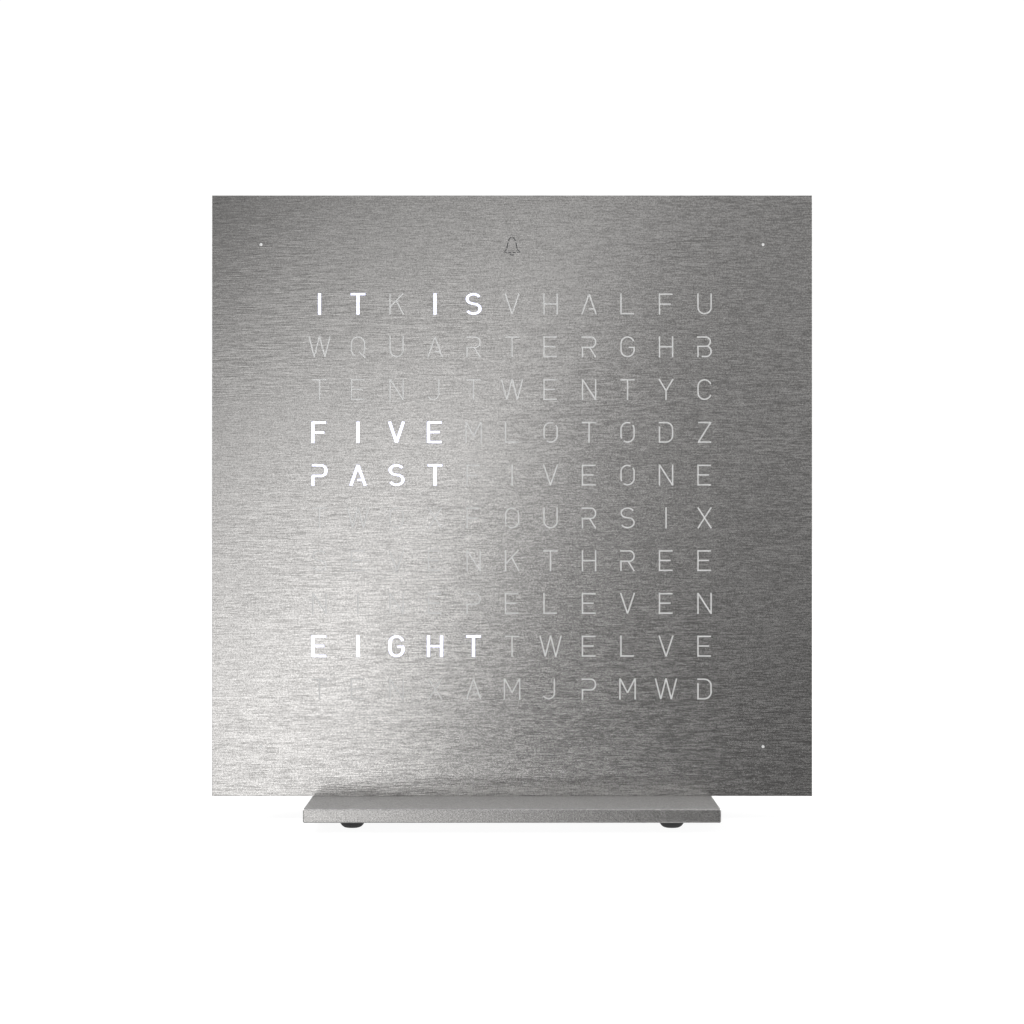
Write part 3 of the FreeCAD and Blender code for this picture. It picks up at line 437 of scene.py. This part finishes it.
def hoop(start, end):  # part of an upright round letter: a half circle at its head and one at its foot
    turn = turnSteps(start, end)
    middle = np.where(np.sin(turn) > 0, high - side, low + side)
    return np.stack([side * np.cos(turn), middle + side * np.sin(turn)], 1)


def trail(*parts):  # paths joined end to end
    return np.concatenate(parts)


def bowl(top, bottom, reach, start, stop):  # a bar, a half round and a bar back
    middle, height, width = (top + bottom) / 2, (top - bottom) / 2, 0.22
    return trail(line((start, top), (reach - width, top)),
                 arc((reach - width, middle), (width, height), 78, -78),
                 line((reach - width, bottom), (stop, bottom)))


stem = line((-side, 0), (-side, 1))
glyphs = {
    "A": [line((-0.34, 0), (0, 0.97)), line((0.34, 0), (0, 0.97)), line((-0.03, 0.27), (0.24, 0.27))],
    "B": [bowl(high, 0.52, 0.27, -barEnd, -barEnd), bowl(0.52, low, side, -0.05, -0.14),
          line((-side, 0), (-side, 0.52))],
    "C": [hoop(20, 340)],
    "D": [trail(line((-barEnd, high), (0, high)), hoop(78, -78), line((0, low), (-barEnd, low))),
          line((-side, low), (-side, 0.78))],
    "E": [stem, line((-side, high), (side, high)), line((-side, 0.51), (0.22, 0.51)),
          line((-side, low), (side, low))],
    "F": [stem, line((-side, high), (side, high)), line((-side, 0.49), (0.22, 0.49))],
    "G": [trail(hoop(20, 354), line((side, 0.47))), line((barEnd, 0.47), (0.05, 0.47))],
    "H": [stem, line((side, 0), (side, 1)), line((-side, 0.5), (side, 0.5))],
    "I": [line((0, 0), (0, 1))],
    "J": [trail(line((0.18, 1)), arc((-0.09, low + 0.27), (0.27, 0.27), -4, -150))],
    "K": [stem, line((-side, 0.35), (side, 1)), line((-0.01, 0.65), (0.33, 0))],
    "L": [stem, line((-side, low), (side, low))],
    "M": [line((-0.36, 0), (-0.36, 1)), line((0.36, 0), (0.36, 1)), line((-0.35, 0.99), (0, 0.32)),
          line((0.35, 0.99), (0, 0.32))],
    "N": [stem, line((side, 0), (side, 1)), line((-side, 0.985), (side, 0.015))],
    "O": [hoop(208, 64), hoop(38, -126)],
    "P": [bowl(high, 0.46, side, -barEnd, -barEnd), line((-side, 0), (-side, 0.46))],
    "Q": [hoop(244, -38), line((0.03, 0.27), (0.36, -0.02))],
    "R": [bowl(high, 0.47, side, -barEnd, -barEnd), line((-side, 0), (-side, 0.47)),
          line((0.03, 0.47), (0.32, 0))],
    "S": [trail(arc((0, 0.735), (0.30, 0.225), 28, 246), arc((0, 0.275), (side, 0.235), 62, -152))],
    "T": [line((-0.345, high), (0.345, high)), line((0, 0), (0, high))],
    "U": [trail(line((-side, 1)), arc((0, low + side), (side, side), 184, 356), line((side, 1)))],
    "V": [line((-0.33, 1), (0, 0.02)), line((0.33, 1), (0, 0.02))],
    "W": [line((-0.50, 1), (-0.25, 0.02)), line((0, 1), (-0.25, 0.02)), line((0, 1), (0.25, 0.02)),
          line((0.50, 1), (0.25, 0.02))],
    "X": [line((-0.32, 0), (0.32, 1)), line((-0.32, 1), (0.32, 0))],
    "Y": [line((-0.33, 1), (0, 0.44)), line((0.33, 1), (0, 0.44)), line((0, 0), (0, 0.47))],
    "Z": [line((-0.30, high), (0.32, high)), line((0.29, high), (-0.29, low)),
          line((-0.32, low), (0.32, low))],
}

bell = {
    "up": 0.0561,          # of its middle above the middle of the face
    "size": 0.0042,
    "stroke": (0.00026, 0.00026),
}
bellPaths = [  # a dome in two halves, two slanting sides, a rim and a knob, with bridges of steel between
    arc((0, 0.20), (0.19, 0.27), 165, 100),
    arc((0, 0.20), (0.19, 0.27), 80, 15),
    line((-0.21, 0.20), (-0.27, -0.12)),
    line((0.21, 0.20), (0.27, -0.12)),
    line((-0.29, -0.17), (-0.43, -0.34), (-0.27, -0.34)),
    line((0.29, -0.17), (0.43, -0.34), (0.27, -0.34)),
    line((-0.19, -0.34), (-0.04, -0.34)),
    line((0.04, -0.34), (0.19, -0.34)),
    arc((0, -0.38), (0.12, 0.10), -145, -35),
]


def strip(path, width):  # a stroke: the path moved half a width to each side, along its normals
    along = np.gradient(path, axis=0)
    along /= np.linalg.norm(along, axis=1)[:, None]
    offset = np.stack([-along[:, 1], along[:, 0]], 1) * np.array(width) / 2
    return np.concatenate([path - offset, (path + offset)[::-1]])


# The middles of the lamps give the places of letters and dots
lampLow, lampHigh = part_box("letter_leds")
lampSize = {
    "width": 0.0035, "height": 0.0028,
    "window": (0.0024, 0.00006, 0.0019),  # the yellow field in front of each: width, depth and height
}
rowCount = len(letters["rows"])
columnCount = len(letters["rows"][0])
columnX = np.linspace(lampLow.x + lampSize["width"] / 2, lampHigh.x - lampSize["width"] / 2, columnCount)
rowZ = np.linspace(lampHigh.z - lampSize["height"] / 2, lampLow.z + lampSize["height"] / 2, rowCount)
dotLow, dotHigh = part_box("minute_leds")
dots = {
    "radius": 0.00035,
    "lampWidth": 0.002, "lampHeight": 0.00125,
    "turn": (0, 345),  # less than a full one, because the outline's ends are joined
}
# What a triangle of the face is. Where two openings overlap, the higher number holds
cutKinds = {"steel": 0, "unlit": 1, "lit": 2, "bell": 3, "dot": 4}


def isLit(row, column):
    return column in letters["lit"].get(row, ())


def faceCuts():  # every opening of the face as (outline, kind)
    cuts = []
    for row, word in enumerate(letters["rows"]):
        for column, letter in enumerate(word):
            width = letters["litStroke"] if isLit(row, column) else letters["stroke"]
            kind = cutKinds["lit"] if isLit(row, column) else cutKinds["unlit"]
            foot = np.array([columnX[column], rowZ[row] - letters["drop"] - letters["height"] / 2])
            for path in glyphs[letter]:
                cuts.append((strip(path * letters["height"] + foot, width), kind))
    for path in bellPaths:
        middle = np.array([coverMiddle.x, coverMiddle.z + bell["up"]])
        cuts.append((strip(path * bell["size"] + middle, bell["stroke"]), cutKinds["bell"]))
    acrossDots = (dotLow.x + dots["lampWidth"] / 2, dotHigh.x - dots["lampWidth"] / 2)
    upDots = (dotLow.z + dots["lampHeight"] / 2, dotHigh.z - dots["lampHeight"] / 2)
    for across in acrossDots:
        for up in upDots:
            outline = arc((across, up), (dots["radius"], dots["radius"]), *dots["turn"])
            cuts.append((outline, cutKinds["dot"]))
    return cuts


def splitFace(cuts, half, unit=1000.0, nearest=1e-5):
    # Triangles of the square face, each with the kind of opening it lies in, or that of steel. The
    # triangulation takes overlapping strokes as one opening. It works in millimetres, and nearest is
    # the distance at which it takes two corners as one.
    square = np.array([(-half, -half), (half, -half), (half, half), (-half, half)])
    square = square + np.array([coverMiddle.x, coverMiddle.z])
    outlines = [square] + [outline for outline, kind in cuts]
    kinds = np.array([cutKinds["steel"]] + [kind for outline, kind in cuts])
    ends = np.cumsum([len(outline) for outline in outlines])
    loops = [list(range(end - len(outline), end)) for end, outline in zip(ends, outlines)]
    points = [Vector(point) for point in np.concatenate(outlines) * unit]
    made = delaunay_2d_cdt(points, [], loops, 1, nearest)
    corners = np.array([tuple(point) for point in made[0]]) / unit
    kindOf = np.array([max(kinds[owner] for owner in owners) for owners in made[5]])
    return corners, np.array([list(triangle) for triangle in made[2]]), kindOf


def slab(corners, triangles, front, back, rim=0.0, outer=None, slack=1e-6):
    # The triangles carried from front to back as a closed solid. Where rim is given, corners on the
    # square outer edge slope outwards by it first, as a broken edge.
    corners, triangles = onlyUsed(corners, triangles)
    count = len(corners)
    wide = corners.copy()
    onEdge = np.zeros(count, bool)
    if outer is not None:
        middle = np.array([coverMiddle.x, coverMiddle.z])
        reach = np.abs(corners - middle).max(1)
        onEdge = reach > outer - rim - slack
        wide[onEdge] = middle + (corners[onEdge] - middle) * (outer / (outer - rim))
    edges = triangles[:, [0, 1, 1, 2, 2, 0]].reshape(-1, 2)
    single = ~np.isin(edges[:, 0] * count + edges[:, 1], edges[:, 1] * count + edges[:, 0])
    edges = edges[single]
    rims = onEdge[edges].all(1)

    def level(points, depth):
        return np.stack([points[:, 0], np.full(count, depth), points[:, 1]], 1)

    def walls(pairs, upper, lower):
        first, second = pairs[:, 0], pairs[:, 1]
        quads = np.stack([first + upper, first + lower, second + lower, second + upper], 1)
        return np.concatenate([quads[:, [0, 1, 2]], quads[:, [0, 2, 3]]])

    points = np.concatenate([level(corners, front), level(wide, back), level(wide, front + rim)])
    faces = np.concatenate([
        triangles,
        triangles[:, ::-1] + count,
        walls(edges[~rims], 0, count),
        walls(edges[rims], 0, 2 * count),
        walls(edges[rims], 2 * count, count),
    ])
    return onlyUsed(points, faces)


face = {
    "rim": 0.00008,     # of the broken outer edge
    "sag": 0.00009,     # of the lower edge, into the gap above the foot plate
}
half = (coverHigh.x - coverLow.x) / 2
corners, triangles, kindOf = splitFace(faceCuts(), half - face["rim"])
points, faces = slab(corners, triangles[kindOf == cutKinds["steel"]], coverLow.y, coverHigh.y,
                     face["rim"], half)
points[:, 2] -= face["sag"] * (points[:, 2] < coverLow.z + 2 * face["rim"])
makePiece("cover_plate", points, faces, brushedSteel, "cover", ["front_cover"])
# The bell sign's inlay takes the painted shade of its cut, and the other inlays take their own opal
inlays = {"letters_unlit": ("unlit", opalUnlit), "letters_lit": ("lit", opalLit),
          "bell_sign": ("bell", bellCutShade), "minute_dots": ("dot", opalDot)}
for name, (kind, finish) in inlays.items():
    inlaid = triangles[kindOf == cutKinds[kind]]
    points, faces = slab(corners, inlaid, coverLow.y + letters["recess"], coverHigh.y)
    makePiece(name, points, faces, finish, "cover")
print("face cut:", len(corners), "corners")

# Printed marks above the four buttons: hours, minutes, alarm and mode

marks = {
    "gap": 0.0028,          # above the button
    "size": 0.0021,
    "stroke": (0.00022, 0.00022),
    "thickness": 0.000015,
    "bellMiddle": 0.42,     # above the mark's foot, in heights of the mark, as the bars' numbers are too
    "barHalf": 0.42, "barHeights": (0.2, 0.5, 0.8),
}
printed = {
    "hour_button": glyphs["H"],
    "minute_button": glyphs["M"],
    "alarm_button": [path + (0, marks["bellMiddle"]) for path in bellPaths],
    "mode_button": [line((-marks["barHalf"], up), (marks["barHalf"], up)) for up in marks["barHeights"]],
}


def makeMarks():  # the paths' X is turned round, because they are read from behind
    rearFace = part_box("rear_cover")[1].y
    cuts = []
    for node, paths in printed.items():
        lowest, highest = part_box(node)
        foot = np.array([(lowest.x + highest.x) / 2, highest.z + marks["gap"]])
        for path in paths:
            outline = strip(path * (-marks["size"], marks["size"]) + foot, marks["stroke"])
            cuts.append((outline, cutKinds["unlit"]))
    corners, triangles, kindOf = splitFace(cuts, half)
    inked = triangles[kindOf == cutKinds["unlit"]]
    points, faces = slab(corners, inked, rearFace, rearFace + marks["thickness"])
    makePiece("button_marks", points, faces, markGrey, "clock")


makeMarks()
print("marks printed")

# Lamp windows, contacts and other small blocks in rows


def makeBlocks(name, middles, size, finish, body):  # one closed block of a size at each middle
    sign = np.array([[x, y, z] for x in (-1, 1) for y in (-1, 1) for z in (-1, 1)]) / 2
    sides = np.array([[0, 1, 3, 2], [4, 6, 7, 5], [0, 4, 5, 1], [2, 3, 7, 6], [0, 2, 6, 4], [1, 5, 7, 3]])
    middles = np.asarray(middles, float)
    points = (middles[:, None] + sign * np.asarray(size)).reshape(-1, 3)
    faces = (sides + 8 * np.arange(len(middles))[:, None, None]).reshape(-1, 4)
    return makePiece(name, points, faces, finish, body)


phosphor = makeMoulded("phosphor", (0.82, 0.66, 0.16), 0.45, 0.0002, 0.15, 1.08)
lampFront = lampLow.y - lampSize["window"][1] / 2
windows = {True: [], False: []}
for row in range(rowCount):
    for column in range(columnCount):
        windows[isLit(row, column)].append((columnX[column], lampFront, rowZ[row]))
makeBlocks("lamp_windows", windows[False], lampSize["window"], phosphor, "clock")
makeBlocks("lamp_windows_lit", windows[True], lampSize["window"], opalLit, "clock")

tongueLow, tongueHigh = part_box("socket_insulator")
contacts = {
    "count": 12, "pitch": 0.0005,
    "size": (0.00024, 0.0031, 0.00008),
    "tongueThickness": 0.0007,
    "setBack": 0.0002,  # from the tongue's end
}
contactX = (np.arange(contacts["count"]) - (contacts["count"] - 1) / 2) * contacts["pitch"]
tongueMiddle = (tongueLow + tongueHigh) / 2
contactY = tongueHigh.y - contacts["size"][1] / 2 - contacts["setBack"]
contactRows = [(across, contactY, tongueMiddle.z + way * contacts["tongueThickness"] / 2)
               for way in (-1, 1) for across in contactX]
makeBlocks("socket_contacts", contactRows, contacts["size"], gold, "clock")
print("lamp windows and contacts made")

# Feet and screws: a profile turned about an upright or level axis


def turned(profile, centre, axis, sides, shape=None):
    # centre + radius(u) * (cos t, sin t) across the axis + height(u) along it. shape, where given, is the
    # radius's factor at each row and turn, which makes a socket six-sided.
    turn = np.linspace(0, 2 * np.pi, sides, endpoint=False)
    radius, height = np.array(profile, float).T
    reach = radius[:, None] * (np.ones((len(radius), sides)) if shape is None else shape(turn))
    flat = np.stack([reach * np.cos(turn), reach * np.sin(turn), np.repeat(height[:, None], sides, 1)], -1)
    if axis == "z":
        points = flat
    else:
        points = np.stack([flat[..., 0], flat[..., 2], -flat[..., 1]], -1)
    return (points + np.asarray(centre)).reshape(-1, 3), gridFaces(len(radius), sides)


foot = {
    "radius": 0.0029,
    "flat": 0.0012,     # radius of what stands on the table
    "rows": 14, "sides": 48,
}


def makeFoot(node):
    # A quarter of an ellipse: radius(u) = flat + (radius - flat) * sin u, and its height above the table
    # is the foot's height * (1 - cos u)
    lowest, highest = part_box(node)
    middle = (lowest + highest) / 2
    height = highest.z - lowest.z
    turn = np.linspace(0, np.pi / 2, foot["rows"])
    radius = foot["flat"] + (foot["radius"] - foot["flat"]) * np.sin(turn)
    profile = [(0, 0)] + list(zip(radius, height * (1 - np.cos(turn)))) + [(0, height)]
    points, faces = turned(profile, (middle.x, middle.y, lowest.z), "z", foot["sides"])
    makePiece(node + "_dome", points, faces, footRubber, "clock", [node], True)


for end in ("front", "rear"):
    for sideName in ("left", "right"):
        makeFoot(f"foot_{end}_{sideName}")

# Radii of head and shank, half the socket's width, and how far below the head's face the socket, the edge
# of the head, the cone under it and the shank end
screw = {
    "head": 0.0023, "shank": 0.00125, "socket": 0.00075,
    "socketDepth": 0.0008, "edge": 0.00012, "cone": 0.0012, "length": 0.006,
}
standScrew = {
    "head": 0.0030, "shank": 0.0015, "socket": 0.0010,
    "socketDepth": 0.0012, "edge": 0.00015, "cone": 0.0017, "length": 0.0111,
}
socketMouth = {"depth": 0.0001, "widening": 1.12}
screwSides = 48


def screwSurface(values, centre, axis, way):
    # From the socket's floor out over the head, down the cone and along the shank to the tip. The rows of
    # the socket are six-sided: radius = half its width / cos of the turn from the nearest flat's middle.
    depths = np.array([values["socketDepth"], values["socketDepth"], socketMouth["depth"], 0.0, 0.0,
                       values["edge"], values["cone"], values["length"], values["length"]])
    radii = [0, values["socket"], values["socket"], values["socket"] * socketMouth["widening"],
             values["head"] - values["edge"], values["head"], values["shank"], values["shank"], 0]

    def shape(turn):
        fromFlat = (turn + np.pi / 6) % (np.pi / 3) - np.pi / 6
        factor = np.ones((len(radii), len(turn)))
        factor[1:4] = 1 / np.cos(fromFlat)
        return factor

    return turned(list(zip(radii, depths * -way)), centre, axis, screwSides, shape)


def makeScrews(name, node, values, axis, way, seat, finish):
    lowest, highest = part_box(node)
    rows, sheets, start = [], [], 0
    for across in (lowest.x + values["head"], highest.x - values["head"]):
        for other in seat:
            centre = (across, highest.y, other) if axis == "y" else (across, other, lowest.z)
            points, faces = screwSurface(values, centre, axis, way)
            rows.append(points)
            sheets.append(faces + start)
            start += len(points)
    piece = makePiece(name, np.concatenate(rows), np.concatenate(sheets), finish, "clock",
                      [node], True)
    outward = bmesh.new()
    outward.from_mesh(piece.data)
    bmesh.ops.recalc_face_normals(outward, faces=outward.faces)
    outward.to_mesh(piece.data)
    outward.free()


rearLow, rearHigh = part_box("rear_screws")
makeScrews("rear_screw_set", "rear_screws", screw, "y", 1,
           (rearLow.z + screw["head"], rearHigh.z - screw["head"]), screwZinc)
standLow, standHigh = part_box("stand_screws")
makeScrews("stand_screw_set", "stand_screws", standScrew, "z", -1,
           ((standLow.y + standHigh.y) / 2,), screwZinc)
print("feet and screws turned")

# Studio: a white floor and surround, soft light on whatever is matt, and a graded card in front of the
# face for the metal to mirror

studio = {
    "surround": 6.0, "surroundGlow": 1.05,
    "floorHalf": 5.9, "floorGlow": 1.02, "floorMatt": (0.10, 0.10, 0.10),
    "floorGrain": 0.004, "floorGrainGlow": 0.02,
    "floorPaintedShadow": (0.30, 0.09),      # radius and depth of the painted soft shadow round the object, where the floor's glow is dimmed
    # Square lamps: place, power, side, and the height on the middle axis at which they point
    "lamps": {
        "overLeft": ((-0.80, -0.15, 1.15), 23.0, 0.8, 0.05),
        "overRight": ((0.80, -0.15, 1.15), 1.5, 0.8, 0.05),
        "rearLeft": ((-1.1, 1.2, 0.9), 10.0, 0.9, 0.07),
        "rearRight": ((1.2, 1.0, 0.6), 10.0, 0.9, 0.07),
    },
    "cardDistance": 1.10,            # in front of the face
    "cardHalf": 1.5,
    "cardBase": 0.063,
    "cardColour": (1.0, 0.992, 0.984, 1.0),
    # Soft patches of the card as they are seen in the face: middle across and up from the middle of the
    # face, width and height, turn in degrees, and brightness; lengths in metres on the face
    "patches": [
        (-0.1500, -0.0787, 0.1471, 0.0100, 13.8, 1.127),
        (-0.0352, -0.0369, 0.0100, 0.0891, -29.0, 1.770),
        (0.0139, -0.0102, 0.0445, 0.0100, 30.0, 0.303),
        (-0.0741, -0.0285, 0.1078, 0.0334, 56.5, 1.009),
        (0.1193, 0.0581, 0.1500, 0.0824, -19.4, 0.288),
        (-0.0093, -0.0912, 0.0376, 0.0100, -10.1, 2.200),
    ],
    # The same for patches that only the views from the side mirror
    "sidePatches": [
        (-0.250, -0.100, 0.085, 0.160, 0.0, 0.62),
        (0.250, -0.110, 0.090, 0.160, 0.0, 0.55),
        (0.030, -0.320, 0.200, 0.120, 0.0, 0.60),
    ],
    "sky": (0.48, 0.55),             # brightness at the horizon and overhead
    "skyEdges": (-0.2, 0.9),         # the upward parts of a direction between which it goes over
    # Soft lamps in the sky: direction, cosine of the outer and inner edge, brightness
    "skyLamps": [
        ((-0.85, 0.30, 0.43), 0.86, 0.97, 1.6),
        ((0.80, 0.40, 0.45), 0.86, 0.97, 1.3),
        ((0.10, 0.80, 0.60), 0.88, 0.98, 1.1),
    ],
}


def makeGlow(name, build):  # a finish that only shines; build gives its colour and strength
    finish = Finish(name)
    colour, strength = build(finish)
    finish.tree.nodes.remove(finish.shader)
    out = finish.tree.nodes["Material Output"]
    light = finish.add("Emission", None, {"Color": colour, "Strength": strength})
    finish.tree.links.new(light.socket, out.inputs["Surface"])
    return finish.material


def stagePlane(name, corners, finish, **seen):
    mesh = bpy.data.meshes.new(name)
    mesh.from_pydata(corners, [], [(0, 1, 2, 3)])
    mesh.materials.append(finish)
    piece = bpy.data.objects.new(name, mesh)
    scene.collection.objects.link(piece)
    for key, shown in seen.items():
        setattr(piece, key, shown)
    return piece


def makeFloor():
    # Brightness = glow - depth * exp(-(distance from the middle / radius) ** 2) + grain, whose dip round
    # the object is a painted soft shadow, and a little matt grey, which the lamps light
    radius, depth = studio["floorPaintedShadow"]
    finish = Finish("floor", roughness=0.9, specularIORLevel=0.0)
    across = finish.part(finish.place, 0)
    along = finish.part(finish.place, 1)
    away = (across.squared() + along.squared()) * (1 / radius ** 2)
    grain = finish.noise(evenGrain(studio["floorGrain"])) * studio["floorGrainGlow"]
    # The glow's dip round the object is a painted soft shadow
    finish.set(baseColor=studio["floorMatt"], emissionColor=(1, 1, 1),
               emissionStrength=studio["floorGlow"] - (away * -1.0).exponential() * depth + grain)
    size = studio["floorHalf"]
    stagePlane("floor", [(-size, -size, 0), (size, -size, 0), (size, size, 0), (-size, size, 0)],
               finish.material, visible_glossy=False)


def makeSurround():  # only the camera sees it
    white = makeGlow("surround", lambda finish: ((1, 1, 1, 1), studio["surroundGlow"]))
    mesh = bpy.data.meshes.new("surround")
    ball = bmesh.new()
    bmesh.ops.create_icosphere(ball, subdivisions=4, radius=studio["surround"])
    ball.to_mesh(mesh)
    ball.free()
    mesh.materials.append(white)
    piece = bpy.data.objects.new("surround", mesh)
    scene.collection.objects.link(piece)
    for key in ("visible_glossy", "visible_diffuse", "visible_transmission", "visible_shadow"):
        setattr(piece, key, False)


def makeCard():
    # Brightness = base + sum of patches, each power * exp(-(along / width) ** 2 - (athwart / height) ** 2).
    # What a point of the face mirrors lies 1 + card distance / camera distance times as far out.
    scale = 1 + studio["cardDistance"] / view["distance"]

    def build(finish):
        across = finish.part(finish.place, 0)
        up = finish.part(finish.place, 2)
        total = studio["cardBase"]
        for middleX, middleZ, width, height, degrees, power in studio["patches"] + studio["sidePatches"]:
            cosine = math.cos(math.radians(degrees))
            sine = math.sin(math.radians(degrees))
            awayX = across - (coverMiddle.x + middleX * scale)
            awayZ = up - (view["height"] + (coverMiddle.z + middleZ - view["height"]) * scale)
            along = (awayX * cosine + awayZ * sine) * (1 / (width * scale))
            athwart = (awayZ * cosine - awayX * sine) * (1 / (height * scale))
            total = ((along.squared() + athwart.squared()) * -1.0).exponential() * power + total
        return studio["cardColour"], total

    size = studio["cardHalf"]
    depth = coverLow.y - studio["cardDistance"]
    bottom = view["height"] - size
    top = bottom + 2 * size
    corners = [(-size, depth, bottom), (-size, depth, top), (size, depth, top), (size, depth, bottom)]
    stagePlane("card", corners, makeGlow("card", build),
               visible_camera=False, visible_diffuse=False, visible_shadow=False)


def addLamp(name, place, power, size, targetHeight):
    lamp = bpy.data.lights.new(name, "AREA")
    lamp.energy = power
    lamp.size = size
    holder = bpy.data.objects.new(name, lamp)
    holder.location = place
    toTarget = Vector((0, 0, targetHeight)) - Vector(place)
    holder.rotation_euler = toTarget.to_track_quat("-Z", "Y").to_euler()
    holder.visible_camera = False
    scene.collection.objects.link(holder)


def makeWorld():
    world = bpy.data.worlds.new("studio")
    world.use_nodes = True
    sky = Sky(world)
    horizon, overhead = studio["sky"]
    up = sky.part(sky.place, 2)
    total = sky.sharpen(up, *studio["skyEdges"]) * (overhead - horizon) + horizon
    for direction, outer, inner, power in studio["skyLamps"]:
        toward = Vector(direction).normalized()
        facing = sky.add("VectorMath", {"operation": "DOT_PRODUCT"}, {0: sky.place, 1: toward}, "Value")
        total = sky.sharpen(facing, outer, inner) * power + total
    background = sky.tree.nodes["Background"]
    background.inputs["Color"].default_value = (1, 1, 1, 1)
    sky.feed(background.inputs["Strength"], total)
    scene.world = world


scene.view_settings.view_transform = "Standard"
makeFloor()
makeSurround()
makeCard()
makeWorld()
for name, values in studio["lamps"].items():
    addLamp(name, *values)
print("studio lit")
